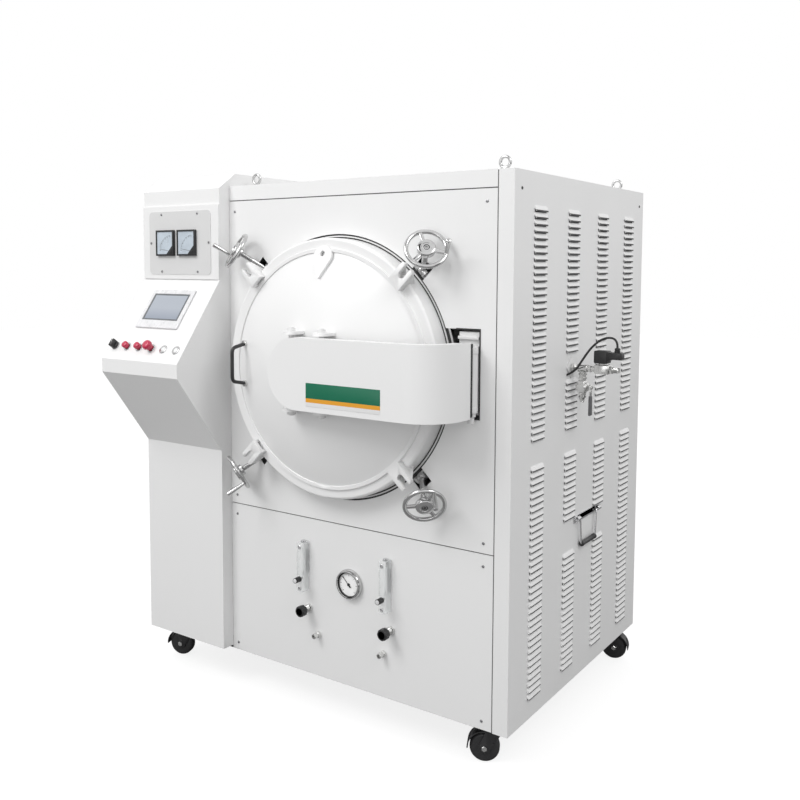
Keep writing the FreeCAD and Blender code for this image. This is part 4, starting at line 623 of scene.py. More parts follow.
def handwheel():
    w = wheel
    ring = add("torus", major_radius=w["reach"], minor_radius=w["rim"], major_segments=56, minor_segments=14)
    hub = turned([(w["boss"] - 2, -w["bossBack"]), (w["boss"], -w["bossBack"] + 2),
                  (w["boss"], -w["hubBack"] - 1), (w["hub"] - 2, -w["hubBack"]),
                  (w["hub"], -w["hubBack"] + 2), (w["hub"], w["hubFront"] - 3),
                  (w["hub"] - 1.2, w["hubFront"] - 0.8), (w["hub"] - 3, w["hubFront"]),
                  (w["bore"] + 5, w["hubFront"]), (w["bore"] + 4, w["hubFront"] - 1),
                  (w["bore"] + 1, w["hubFront"] - 1)], 40)
    cut(hub, turned([(w["bore"], -30), (w["bore"], 30)], 32))
    parts = [ring, hub]
    for number in range(w["spokes"]):
        size = (w["reach"] - w["spokeRoot"], w["spokeWide"], w["spokeThick"])
        spoke = block(size, ((w["reach"] + w["spokeRoot"]) / 2, 0, 0), 2.6, 3)
        for corner in spoke.data.vertices:
            if corner.co.x > w["reach"] / 2:
                corner.co.y *= w["spokeTaper"]
        parts.append(shift(spoke, turn=number * 360 / w["spokes"]))
    f, t, long = w["crankFoot"], w["crankTip"], w["crank"]
    crank = turned([(f * 0.8, -5), (f * 0.8, 4), (f, 5), (f, 12), (t * 0.93, long * 0.5), (t, long * 0.85),
                    (t, long - 2), (t * 0.92, long + 0.8), (t * 0.66, long + 2)], 20)
    parts.append(shift(crank, (w["reach"], 0, 0)))
    return joined(parts)


firstWheel = handwheel()
for name, (angle, crankTurn) in clamps.items():
    wheelPiece = double(firstWheel)
    shift(wheelPiece, turn=crankTurn)
    here = aboutDoor(angle, pivot + boltWay * clamp["wheelOut"], up, boltWay.cross(up), boltWay)
    finish(wheelPiece, "wheel_" + name, "handwheel_" + name + "_body", steel, here,
           ["handwheel_" + name], 40)
bpy.data.objects.remove(firstWheel)
print("handwheels")

# Lifting eyes
eye = {"places": ((49, 70), (898, 70), (898, 850), (49, 850)), "ring": 14.0, "rod": 4.2, "collar": 11.0,
       "tall": 7.0}
ringUp = eye["tall"] + eye["ring"] + eye["rod"] * 0.6
ring = add("torus", major_radius=eye["ring"], minor_radius=eye["rod"], major_segments=36, minor_segments=12)
shift(ring, (0, 0, ringUp), 90, "X")
collar = turned([(eye["collar"] - 0.8, 0), (eye["collar"], 0.8), (eye["collar"], 3.2), (7.5, 4.6),
                 (5.6, 6.0), (5.0, 8.2)], 28)
firstEye = joined([ring, collar])
eyes = []
for x, y in eye["places"]:
    eyes.append(shift(double(firstEye), (x, y, cabinet["top"])))
bpy.data.objects.remove(firstEye)
finish(joined(eyes), "lifting_eyes", "cabinet", steel, local, ["eye_bolts"], 40)
print("lifting eyes")

# Two moving-coil panel meters
meter = {"size": 80.0, "deep": 9.0, "rim": 5.0, "recess": 2.4, "corner": 27.54, "z": 1270.0,
         "middles": (-226.5, -131.5), "screwIn": 8.5, "pinIn": 9.0, "pointer": 47.0, "pointerAt": 171.0,
         "ticks": 30, "tickFrom": 93.0, "tickSpan": 84.0, "tickOuter": 50.0, "tickLong": 44.0,
         "tickShort": 46.5}
cases, faces, marks = [], [], []
deep, floorZ = meter["deep"], meter["deep"] - meter["recess"]
inner = meter["size"] / 2 - meter["rim"]
pin = inner - meter["pinIn"]
for x in meter["middles"]:
    case = block((meter["size"], meter["size"], deep), (0, 0, deep / 2), 1.2, 3)
    cut(case, block((2 * inner, 2 * inner, 10), (0, 0, floorZ + 5), 0))
    apron = turned([(meter["corner"], floorZ - 0.2), (meter["corner"], deep - 1.0)], 4)
    shift(apron, (inner, -inner, 0))
    keep = block((2 * inner, 2 * inner, 20), (0, 0, 5), 0)
    modify(apron, "BOOLEAN", object=keep, operation="INTERSECT", solver="EXACT")
    bpy.data.objects.remove(keep)
    screw = turned([(4.2, deep - 1.2), (4.2, deep - 0.5), (3.4, deep - 0.1)], 24)
    shift(screw, (inner - meter["screwIn"], meter["screwIn"] - inner, 0))
    cases.append(shift(joined([case, apron, screw]), (x, 0, 0)))
    faces.append(block((2 * inner - 0.4, 2 * inner - 0.4, 0.5), (x, 0, floorZ), 0.1, 1))
    for step in range(meter["ticks"] + 1):
        angle = meter["tickFrom"] + step * meter["tickSpan"] / meter["ticks"]
        major = step % 5 == 0
        a = around(meter["tickLong"] if major else meter["tickShort"], angle)
        b = around(meter["tickOuter"], angle)
        marks.append(strip((x + pin + a[0], a[1] - pin), (x + pin + b[0], b[1] - pin),
                           0.9 if major else 0.45, 0.12, floorZ + 0.3))
    reach = around(meter["pointer"], meter["pointerAt"])
    marks.append(strip((x + pin, -pin), (x + pin + reach[0], reach[1] - pin), 0.8, 0.3, floorZ + 0.6))
front = onFront(0, cabinet["console"], meter["z"])
finish(joined(cases), "meter_cases", "cabinet", black, front, ["panel_meters"])
finish(joined(faces), "meter_faces", "cabinet", meterFace, front)
finish(joined(marks), "meter_scales", "cabinet", ink, front)
print("panel meters")

# Touch screen on the desk
screen = {"x": -163.0, "down": 115.0, "wide": 184.0, "high": 140.0, "thick": 6.0, "showWide": 157.0,
          "showHigh": 97.0, "up": 6.0}
screenSeat = onDesk(screen["x"], screen["down"])
bezel = block((screen["wide"], screen["high"], screen["thick"]), (0, 0, screen["thick"] / 2), 2.2, 4)
cut(bezel, block((screen["showWide"], screen["showHigh"], 10),
                 (0, screen["up"], screen["thick"] + 5 - 1.6), 0.8, 2))
finish(bezel, "screen_bezel", "cabinet", silverPlastic, screenSeat,
       ["touch_screen"])
show = block((screen["showWide"] - 0.4, screen["showHigh"] - 0.4, 1.0),
             (0, screen["up"], screen["thick"] - 1.6), 0.2, 1)
finish(show, "screen_glass", "cabinet", screenGlass, screenSeat)
inner = block((screen["showWide"] - 16, screen["showHigh"] - 12, 0.4),
              (0, screen["up"], screen["thick"] - 1.0), 0.1, 1)
finish(inner, "screen_picture", "cabinet", screenPicture, screenSeat)
print("touch screen")

# Desk controls, from left to right
controls = {"first": -300.0, "step": 53.5, "down": 254.0, "collar": 14.0, "collarTall": 3.0, "stem": 9.2,
            "rest": 7.3}


def controlAt(number):
    return onDesk(controls["first"] + number * controls["step"], controls["down"])


firstSeat = controlAt(0)
rings = []
for number in range(6):
    ring = turned([(controls["collar"], 0), (controls["collar"], 1.4), (controls["collar"] - 1.1, 2.7),
                   (controls["collar"] - 2.2, controls["collarTall"])], 36)
    if number < 4:
        cut(ring, turned([(controls["stem"], -4), (controls["stem"], 9)], 32))
    else:
        cut(ring, turned([(8.0, 1.2), (8.6, 9)], 32))
    rings.append(shift(ring, (number * controls["step"], 0, 0)))
finish(joined(rings), "control_rings", "cabinet", steel, firstSeat, ["button_collars"], 30)
lenses = [shift(turned([(7.8, 0.9), (7.8, 2.0), (7.0, 2.6), (4.0, 2.9), (0.01, 3.0)], 28),
                (n * controls["step"], 0, 0))
          for n in (4, 5)]
finish(joined(lenses), "indicator_lenses", "cabinet", lensWhite, firstSeat)
rest = controls["rest"]
for number, name in ((1, "heat_button"), (2, "stop_button")):
    cap = turned([(8.5, 0), (8.5, rest), (10.5, rest), (10.5, rest + 7), (10.0, rest + 9),
                  (8.6, rest + 10.3), (5.0, rest + 10.9), (0.01, rest + 11)], 36)
    finish(cap, name + "_cap", name + "_body", red, controlAt(number), [name], 50)
head = turned([(8.5, 0), (8.5, rest), (11.2, rest), (10.4, rest + 4.5), (11.0, rest + 6.6),
               (14.3, rest + 7.2), (15.0, rest + 8.6), (15.0, rest + 14.5), (14.4, rest + 17.6),
               (12.6, rest + 19.9), (9.0, rest + 21.4), (4.5, rest + 21.9), (0.01, rest + 22)], 44)
finish(head, "emergency_stop_head", "emergency_stop_body", red, controlAt(3),
       ["emergency_stop"], 50)
skirt = turned([(8.5, 0), (8.5, 3.3), (13.0, 3.3), (13.0, 8.0), (12.0, 10.3), (9.5, 11.0)], 36)
grip = block((13.0, 25.0, 18.0), (0, 0, 3.3 + 12.0), 3.0, 4)
knob = joined([skirt, grip])
finish(knob, "selector_grip", "selector_knob_body", black, firstSeat, ["selector_knob"], 40)
finish(block((1.6, 11.0, 0.3), (0, 6.0, 24.35), 0.1, 1), "selector_line", "selector_knob_body",
       dialWhite, firstSeat)
print("desk controls")

# Pressure gauge
gauge = {"x": 461.0, "z": 301.0, "radius": 43.0, "proud": 16.0, "dial": 35.0, "dialDepth": 8.0,
         "ticks": 30, "tickFrom": 225.0, "tickStep": 9.0, "tickOuter": 30.5, "tickLong": 24.5,
         "tickShort": 27.0, "arc": 30.6}
gaugeSeat = onFront(gauge["x"], 0, gauge["z"])
rim = turned([(gauge["radius"] - 2, 0), (gauge["radius"], 1.5), (gauge["radius"], 9),
              (gauge["radius"] - 1.2, 12.5), (gauge["radius"] - 3.5, 15.3),
              (gauge["radius"] - 6, gauge["proud"])], 56)
cut(rim, turned([(gauge["dial"], gauge["dialDepth"] - 1), (gauge["dial"] + 1.6, gauge["proud"] + 3)], 56))
finish(rim, "gauge_rim", "cabinet", steel, gaugeSeat, ["pressure_gauge"], 30)
well = turned([(gauge["dial"] - 0.1, 7.0), (gauge["dial"] - 0.1, 11.5)], 56)
cut(well, turned([(gauge["dial"] - 2.2, 6), (gauge["dial"] - 1.6, 20)], 56))
finish(well, "gauge_inner_ring", "cabinet", black, gaugeSeat)
dial = turned([(gauge["dial"] - 1.8, 7.0), (gauge["dial"] - 1.8, 8.0)], 56)
finish(dial, "gauge_dial", "cabinet", dialWhite, gaugeSeat)
ticks = []
for step in range(gauge["ticks"] + 1):
    angle = gauge["tickFrom"] - step * gauge["tickStep"]
    major = step % 5 == 0
    ticks.append(strip(around(gauge["tickLong"] if major else gauge["tickShort"], angle),
                       around(gauge["tickOuter"], angle), 1.1 if major else 0.5, 0.12, gauge["dialDepth"]))
for step in range(gauge["ticks"]):
    angle = gauge["tickFrom"] - step * gauge["tickStep"]
    ticks.append(strip(around(gauge["arc"], angle), around(gauge["arc"], angle - gauge["tickStep"]),
                       0.5, 0.12, gauge["dialDepth"]))
finish(joined(ticks), "gauge_scale", "cabinet", ink, gaugeSeat)
needle = joined([strip((0, -10), (0, 28.0), 1.5, 0.8, 9.6),
                 turned([(4.0, 8.1), (4.0, 10.9), (3.2, 11.4)], 28),
                 strip((0, -10), (0, -4), 4.2, 0.8, 9.6)])
shift(needle, turn=45)
finish(needle, "gauge_pointer", "gauge_needle_body", ink, gaugeSeat, ["gauge_needle"])
print("gauge")

# Swing bolts: an eye on the lug's pin and a threaded shank
bolt = {"eye": 13.5, "wide": 18.0, "pin": 6.05, "radius": 8.0, "length": 115.5, "plain": 52.0}
eyePart = hollow(bolt["eye"], bolt["pin"], -bolt["wide"] / 2, bolt["wide"] / 2, 36, 1.4)
shift(eyePart, turn=90, axis="Y")
shank = turned([(bolt["radius"], 10.0), (bolt["radius"], bolt["plain"])]
               + thread(bolt["radius"], bolt["plain"] + 0.2, bolt["length"] - 3, 2.5)[1:]
               + [(bolt["radius"] - 2.2, bolt["length"]), (4.2, bolt["length"]),
                  (3.4, bolt["length"] - 7.0)], 28)
firstBolt = joined([eyePart, shank])
for name, (angle, _) in clamps.items():
    here = aboutDoor(angle, pivot, up, boltWay.cross(up), boltWay)
    finish(double(firstBolt), "bolt_" + name, "swing_bolt_" + name + "_body", steel, here,
           ["swing_bolt_" + name], 30)
bpy.data.objects.remove(firstBolt)
print("swing bolts")

# Flowmeters: a clear block on the panel with a tapered tube, a float and a scale
flow = {"places": (302.0, 593.0), "z": 326.5, "wide": 24.0, "deep": 34.0, "high": 145.0, "drop": 34.0}
blocks, floats, scales, ends, backs = [], [], [], [], []
for x in flow["places"]:
    body = block((flow["wide"], flow["high"], flow["deep"]), (0, 0, flow["deep"] / 2), 2.0, 3)
    bore = turned([(4.0, -26), (5.0, 52)], 24)
    cut(body, shift(bore, (0, 0, flow["deep"] / 2), -90, "X"))
    blocks.append(shift(body, (x, 0, 0)))
    ball = add("uv_sphere", segments=20, ring_count=12, radius=3.6, location=(x, -23, flow["deep"] / 2))
    bpy.ops.object.transform_apply(location=True)
    stem = shift(turned([(1.1, -2), (1.1, 8)], 12), turn=-90, axis="X")
    floats.append(joined([ball, shift(stem, (x, -23, flow["deep"] / 2))]))
    for step in range(16):
        y = -22 + step * 4.6
        long = 7.0 if step % 5 == 0 else 4.2
        scales.append(strip((x - 10, y), (x - 10 + long, y), 0.55, 0.12, flow["deep"] - 0.02))
    for y in (60.0, -62.0):
        screw = turned([(5.6, flow["deep"] - 1), (5.6, flow["deep"] + 1.6), (4.8, flow["deep"] + 2.4),
                        (2.4, flow["deep"] + 2.4), (2.4, flow["deep"] + 1.2)], 24)
        ends.append(shift(screw, (x, y, 0)))
    backs.append(block((9.0, 66.0, 0.8), (x + 3.0, 14.0, 4.5), 0.2, 1))
    plug = shift(turned([(7.0, 0), (7.0, 6), (6.0, 7.0)], 24), turn=-90, axis="X")
    ends.append(shift(plug, (x, flow["high"] / 2 - 2, flow["deep"] / 2)))
here = onFront(0, 0, flow["z"])
finish(joined(blocks), "flowmeter_blocks", "cabinet", acrylic, here, ["flowmeters"])
finish(joined(floats), "flowmeter_floats", "cabinet", darkSteel, here)
finish(joined(scales), "flowmeter_scales", "cabinet", ink, here)
finish(joined(backs), "flowmeter_back_plates", "cabinet", backGrey, here)
finish(joined(ends), "flowmeter_screws", "cabinet", chrome, here)
for side, x in zip(("left", "right"), flow["places"]):
    knobSeat = onFront(x, -flow["deep"], flow["z"] - flow["drop"])
    knob = turned([(3.4, -11), (3.4, 0.3), (8.0, 0.3), (8.0, 2.2), (7.2, 2.8), (7.2, 4.0), (8.0, 4.6),
                   (8.0, 20.4), (7.2, 22.0), (6.4, 21.6)], 32)
    finish(knob, "flow_knob_grip_" + side, "flow_knob_" + side + "_body", black,
           knobSeat, ["flow_knob_" + side])
    cap = turned([(6.3, 20.6), (6.3, 21.9), (5.4, 22.3), (0.01, 22.4)], 28)
    finish(shift(cap, (0, 0, -0.3)), "flow_knob_cap_" + side, "flow_knob_" + side + "_body",
           silverPlastic, knobSeat)
print("flowmeters")

# Needle valve knobs
valve = {"places": (310.0, 601.0), "z": 199.0, "radius": 16.0, "long": 20.0, "start": 26.3, "flutes": 8}
for side, x in zip(("left", "right"), valve["places"]):
    knob = turned([(14.4, 0), (valve["radius"], 1.6), (valve["radius"], valve["long"] - 2.5),
                   (14.4, valve["long"] - 0.5), (12.6, valve["long"])], 48)
    for number in range(valve["flutes"]):
        a = around(valve["radius"] + 1.5, number * 45 + 22.5)
        cut(knob, shift(turned([(3.5, -2), (3.5, 24)], 16), (a[0], a[1], 0)))
    soften(knob, 0.5, 2, 40)
    stem = turned([(4.0, -20), (4.0, 1)], 16)
    knobSeat = onFront(x, -valve["start"], valve["z"])
    finish(joined([knob, stem]), "valve_knob_grip_" + side, "valve_knob_" + side + "_body",
           black, knobSeat, ["valve_knob_" + side])
    cap = turned([(10.8, valve["long"] - 0.4), (10.8, valve["long"]), (9.8, valve["long"])], 32)
    finish(cap, "valve_knob_cap_" + side, "valve_knob_" + side + "_body", capGrey, knobSeat)
print("valve knobs")

# Louvre hoods on the right side, pressed out of the sheet, each with a dark strip under its lip as painted
# shade of the opening.
# Rows are height and depth of the hood's outline, columns are share of the half width and of the depth.
louvre = {"columns": (148.5, 362.0, 575.5, 789.0), "pitch": 18.0, "halfWide": 38.5, "top": 14.4,
          "squeeze": 0.35, "rows": ((14.8, 0.8), (13.6, 2.0), (10.6, 3.6), (7.6, 5.2), (5.8, 6.2),
                                    (4.8, 6.5), (4.3, 5.3)),
          "ends": ((-1.0, 0.0), (-0.965, 0.5), (-0.92, 0.88), (-0.87, 1.0),
                   (0.87, 1.0), (0.92, 0.88), (0.965, 0.5), (1.0, 0.0)),
          "upper": (746.0, 1340.0), "lower": (54.0, 666.0), "portGap": (872.0, 962.0),
          "handleGap": (390.0, 482.0), "mouth": (70.0, 3.7, 1.6), "mouthAt": (0, 2.75, 4.6), "mouthTop": 5.1,
          "mouthFoot": 5.7}


def louvreHood():
    rows, ends = louvre["rows"], louvre["ends"]
    hood = add("grid", x_subdivisions=len(ends) - 1, y_subdivisions=len(rows) - 1, size=2)
    for spot in hood.data.vertices:
        acrossShare, rise = ends[round((spot.co.x + 1) / 2 * (len(ends) - 1))]
        height, proud = rows[round((1 - spot.co.y) / 2 * (len(rows) - 1))]
        lift = louvre["squeeze"] * (1 - rise) * (height - louvre["top"])
        spot.co = (acrossShare * louvre["halfWide"], height - lift, proud * rise)
    edit(hood)
    bpy.ops.mesh.select_all(action="SELECT")
    bpy.ops.mesh.region_to_loop()
    bpy.ops.mesh.edge_face_add()
    return done()


def louvreMouth():
    # a slanted strip: its lower edge stands further out than its upper one; it is painted dark as the shade
    # inside the opening
    mouth = block(louvre["mouth"], louvre["mouthAt"], 0)
    for corner in mouth.data.vertices:
        if corner.co.z > louvre["mouthAt"][2]:
            corner.co.z = louvre["mouthTop"] if corner.co.y > louvre["mouthAt"][1] else louvre["mouthFoot"]
    return mouth


def louvrePlaces():
    places = []
    for number, y in enumerate(louvre["columns"]):
        upperGap = louvre["portGap"] if number == 1 else None
        lowerGap = louvre["handleGap"] if number in (1, 2) else None
        for (low, high), gap in ((louvre["upper"], upperGap), (louvre["lower"], lowerGap)):
            for step in range(int(round((high - low) / louvre["pitch"])) + 1):
                belowGap = gap is None or step <= int((gap[0] - low) / louvre["pitch"])
                if belowGap or step >= math.ceil((gap[1] - low) / louvre["pitch"]):
                    places.append((y, low + step * louvre["pitch"], 0))
    return places


sideSeat = onSide(cabinet["side"], 0, 0)
firstHood, firstMouth = louvreHood(), louvreMouth()
hoods = [double(firstHood, spot) for spot in louvrePlaces()]
mouths = [double(firstMouth, spot) for spot in louvrePlaces()]
bpy.data.objects.remove(firstHood)
bpy.data.objects.remove(firstMouth)
# the mouths are dark strips of painted shade, not parts of the sheet
finish(joined(mouths), "louvre_mouths", "cabinet", paintedMouthShade, sideSeat, angle=20)
hoodPiece = finish(joined(hoods), "louvre_hoods", "cabinet", sheetPaint, sideSeat, angle=50)
if sum(face.normal.x for face in hoodPiece.data.polygons) < 0:
    edit(hoodPiece)
    bpy.ops.mesh.select_all(action="SELECT")
    bpy.ops.mesh.flip_normals()
    done()
print("louvre hoods", len(hoods))

# Drop handle on the right side
drop = {"x": 970.0, "z": 477.0, "knuckles": (412.0, 562.0), "fall": 79.0, "rod": 3.0, "grip": 8.0,
        "from": 436.0, "to": 538.0, "plate": 3.0, "screwIn": 25.0, "bend": 9.0}
ears = copyOf("side_handle_ears", 0.0009, 3, 40)
finish(ears, "handle_ears", "cabinet", chrome, replaces=["side_handle_ears"], angle=40)

plateScrews = [aimed(turned([(3.4, 0), (3.4, 0.5), (2.0, 1.1)], 18), "x") for _ in range(2)]
low, high = drop["knuckles"]
for screw, y in zip(plateScrews, (low + drop["screwIn"], high - drop["screwIn"])):
    shift(screw, (cabinet["side"] + drop["plate"], y, drop["z"] - 1))
finish(joined(plateScrews), "handle_plate_screws", "cabinet", darkSteel, local)
gripZ = drop["z"] - drop["fall"]
route = [(drop["x"], low - 14, drop["z"]), (drop["x"], low + 15, drop["z"]), (drop["x"], low + 23, gripZ),
         (drop["x"], high - 23, gripZ), (drop["x"], high - 15, drop["z"]), (drop["x"], high + 14, drop["z"])]
legs = bar(rounded(route, drop["bend"]), drop["rod"], 12)
finish(legs, "drop_handle_rod", "bail_handle_body", chrome, local, ["bail_handle"], 50)
long, thick = drop["to"] - drop["from"], drop["grip"]
grip = turned([(5.0, 0), (thick - 1.2, 0.4), (thick, 2.2), (thick, 9.0), (thick - 0.8, 10.0),
               (thick - 0.8, long - 10.0), (thick, long - 9.0), (thick, long - 2.2),
               (thick - 1.2, long - 0.4), (5.0, long)], 28)
shift(aimed(grip, "y"), (drop["x"], drop["from"], gripZ))
finish(grip, "drop_handle_grip", "bail_handle_body", black, local, angle=40)
print("drop handle")

# Valve train on the right side: port plate, nut, tee, ball valve below, solenoid valve behind
train = {"y": 358.0, "z": 920.0, "plate": 31.0, "pipe": 8.0, "teeX": 997.0, "ballZ": 868.0, "boxX": 1055.0,
         "coilX": 1053.0, "glandX": 1095.0, "leverX": 1020.8}
portPlate = soften(aimed(turned([(train["plate"], 0), (train["plate"], 4.0)], 4), "x"), 1.2, 2)
shift(portPlate, (cabinet["side"], train["y"], train["z"]))
finish(portPlate, "port_plate", "cabinet", hingePaint, local)


def onLine(piece, x):
    return shift(aimed(piece, "x"), (x, train["y"], train["z"]))


pipe = train["pipe"]
parts = [
    onLine(hexNut(22.5, 9.0), 965.0),
    onLine(turned([(pipe, 0)] + thread(pipe, 14, 22, 1.6) + [(pipe, 75)], 24), 959.0),
    onLine(turned([(10.4, 0), (11, 0.8), (11, 4.2), (9.6, 5.2), (9.6, 22.8), (11, 23.8), (11, 27.2),
                   (10.4, 28)], 28), 983.0),
    onLine(hexNut(19.0, 8.0), 1015.0),
    onLine(hexNut(20.5, 8.5), 1075.0),
    onLine(turned([(7, 0), (7, 9), (8.2, 9.8)] + thread(8.2, 10, 24, 1.6)[1:] + [(7.4, 26)], 24), 1075.0),
]
down = [(9, 0), (9, 3), (11.5, 3.6), (11.5, 8.2), (9, 8.8), (9, 13.6), (11.5, 14.2), (11.5, 18.8),
        (9.4, 19.4), (9.4, 26)]
parts.append(shift(aimed(turned(down, 28), "-z"), (train["teeX"], train["y"], 909.5)))
ball = turned([(8.5, 0), (11.5, 1.2), (13.4, 5), (13.8, 9), (13.8, 25), (13.4, 29), (11.5, 32.8), (8.5, 34)],
              32)
parts.append(shift(aimed(ball, "x"), (980.0, train["y"], train["ballZ"])))
parts.append(block((22, 22, 34), (train["teeX"], train["y"], 869.0), 3.0, 3))
barbs = [(10.4, 0), (10.4, 6), (8.2, 6.8), (8.2, 8.6), (10, 9.2), (10, 14), (6.2, 14.8), (8.0, 16.6),
         (6.2, 19.6), (7.2, 21.0), (5.6, 24.0), (6.2, 25.0), (5.0, 27.0)]
parts.append(shift(aimed(turned(barbs, 28), "-z"), (train["teeX"], train["y"], 852.0)))
parts.append(block((40, 30, 25), (train["boxX"], train["y"], 920.5), 2.6, 3))
parts.append(shift(turned([(9.5, 0), (9.5, 1.5), (7, 2), (7, 5)], 24), (train["coilX"], train["y"], 932.5)))
for dy in (-10.5, 10.5):
    for dx in (-14.5, 14.5):
        parts.append(shift(turned([(2.6, 0), (2.6, 1.4), (1.8, 2.0)], 14),
                           (train["boxX"] + dx, train["y"] + dy, 932.5)))
finish(joined(parts), "valve_train", "cabinet", brightSteel, local, ["vent_pipework"], 35)
coil = block((38, 34, 35), (train["coilX"], train["y"], 954.5), 3.4, 4)
plugBox = block((40, 26, 19), (1091.0, train["y"], 958.5), 2.4, 3)
coilCollar = block((5, 29, 24), (1073.5, train["y"], 957.0), 1.6, 3)
glandPiece = shift(turned([(8, 0), (8, 5.0), (6.6, 5.8), (6.6, 6.6), (7.8, 7.2), (7.8, 11.0), (6.0, 13.2),
                           (4.2, 14.0)], 24),
                   (train["glandX"], train["y"], 967.5))
glandNut = shift(hexNut(13.6, 5.6), (train["glandX"], train["y"], 968.0))
finish(joined([coil, plugBox, coilCollar, glandPiece, glandNut]), "coil_and_connector", "cabinet",
       black, local, ["solenoid_coil"], 35)
handleHub = aimed(turned([(8, 0), (8, 4.6), (7.4, 5)], 28), "x")
shift(handleHub, (train["leverX"] - 2.4, train["y"], train["ballZ"]))
spindleNut = shift(aimed(hexNut(9.0, 4.0), "x"), (train["leverX"] + 1.8, train["y"], train["ballZ"]))
shoulder = block((3.0, 13.0, 30.0), (train["leverX"], train["y"], train["ballZ"] - 16.0), 0.8, 2)
finish(joined([handleHub, spindleNut, shoulder]), "valve_lever_root", "ball_valve_lever_body",
       brightSteel, local, ["ball_valve_lever"], 35)
sleeve = block((6.6, 18.0, 56.0), (train["leverX"], train["y"], 817.0), 2.9, 4)
taper = {"share": 0.22, "from": 791.0, "over": 54.0}
for corner in sleeve.data.vertices:
    upward = max(0.0, min(1.0, (corner.co.z - taper["from"]) / taper["over"]))
    corner.co.y = train["y"] + (corner.co.y - train["y"]) * (1.0 - taper["share"] * upward)
finish(sleeve, "valve_lever_sleeve", "ball_valve_lever_body", sleeveGrey, local, angle=40)
print("valve train")

# Panel screws with a cross recess, and two dark plugs high on the right side
screws = {"head": 4.0, "tall": 2.0, "front": [(x, z) for x in (24, 886) for z in (24, 434, 494, 1362)],
          "rear": [(x, z) for x in (14, 947) for z in (24, 467, 910, 1353)],
          "plate": [(-296.5, 1270), (-39.5, 1270), (-248, 1181), (-88, 1181), (-248, 1359), (-88, 1359)],
          "sidePlugs": [(40.0, 1394.0), (884.0, 1394.0)]}


def crossHead(radius, tall):
    head = turned([(radius, 0), (radius, tall * 0.3), (radius * 0.86, tall * 0.72), (radius * 0.5, tall)],
                  24)
    for size in ((radius * 0.24, radius * 1.3, 2), (radius * 1.3, radius * 0.24, 2)):
        cut(head, block(size, (0, 0, tall + 0.35), 0))
    return head


frontHead = aimed(crossHead(screws["head"], screws["tall"]), "-y")
rearHead = shift(double(frontHead), turn=180)
heads = [double(frontHead, (x, 0, z)) for x, z in screws["front"]]
heads += [double(rearHead, (x, cabinet["rear"], z)) for x, z in screws["rear"]]
heads += [double(frontHead, (x, cabinet["console"], z)) for x, z in screws["plate"]]
bpy.data.objects.remove(frontHead)
bpy.data.objects.remove(rearHead)
finish(joined(heads), "screw_heads", "cabinet", darkSteel, local, ["panel_screws"], 35)
plugs = [shift(aimed(turned([(4.2, 0), (4.2, 0.8), (3.2, 1.6)], 20), "x"), (cabinet["side"], y, z))
         for y, z in screws["sidePlugs"]]
finish(joined(plugs), "side_plugs", "cabinet", black, local)
print("screws")

# The door's dome, turned as one smooth shell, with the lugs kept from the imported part
dome = {"radius": 330.0, "rise": 66.0, "rings": 26, "start": 322.0, "inset": 0.04, "wall": 2.9,
        "lugHalf": 33.0}
ballRadius = (dome["radius"] ** 2 + dome["rise"] ** 2) / (2 * dome["rise"])


def domeDepth(radius):
    return math.sqrt(max(0.0, ballRadius**2 - radius**2)) - (ballRadius - dome["rise"])


def domeShell():
    outline = [(336.0, 0.0), (335.6, 3.4), (334.4, 5.2), (332.8, 5.95), (326.4, 5.95), (325.2, 5.3),
               (324.5, 3.6), (323.6, domeDepth(323.6) + 0.2)]
    for step in range(1, dome["rings"] + 1):
        radius = dome["start"] * (1 - step / dome["rings"]) + 0.01
        outline.append((radius, domeDepth(radius) - dome["inset"]))
    return turned(outline, 160)


def domeLugs():
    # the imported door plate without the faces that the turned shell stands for
    lugs = copyOf("door_dish", 0)
    # leaves nothing selected, so that only the faces chosen below go
    edit(lugs)
    done()
    middle = place(door["x"], door["front"], door["z"])
    for face in lugs.data.polygons:
        spots = [(lugs.data.vertices[number].co - middle) / mm for number in face.vertices]
        depths = [(-spot.y, math.hypot(spot.x, spot.z)) for spot in spots]
        way = Vector((face.center.x - middle.x, 0, face.center.z - middle.z)) / mm
        ahead = math.sqrt(max(1.0, ballRadius**2 - way.length_squared))
        outward = (way - back * ahead).normalized()
        onShell = all(abs(depth - domeDepth(radius)) < 0.12 for depth, radius in depths)
        inside = all(depth < domeDepth(radius) - dome["wall"] and radius < 325 for depth, radius in depths)
        onRim = all(radius > 323.5 for depth, radius in depths) and abs(way.x) > dome["lugHalf"]
        face.select = (onShell and face.normal.dot(outward) > 0.97) or inside or onRim
    choose(lugs)
    bpy.ops.object.mode_set(mode="EDIT")
    bpy.ops.mesh.select_mode(type="FACE")
    bpy.ops.mesh.delete(type="FACE")
    bpy.ops.mesh.select_mode(type="VERT")
    return done()


shell, lugs = domeShell(), domeLugs()
finish(shell, "door_dome", "door", doorPaint, onFront(door["x"], door["front"], door["z"]),
       ["door_dish"], 35)
finish(lugs, "door_lugs", "door", doorPaint, angle=35)
print("door dome")

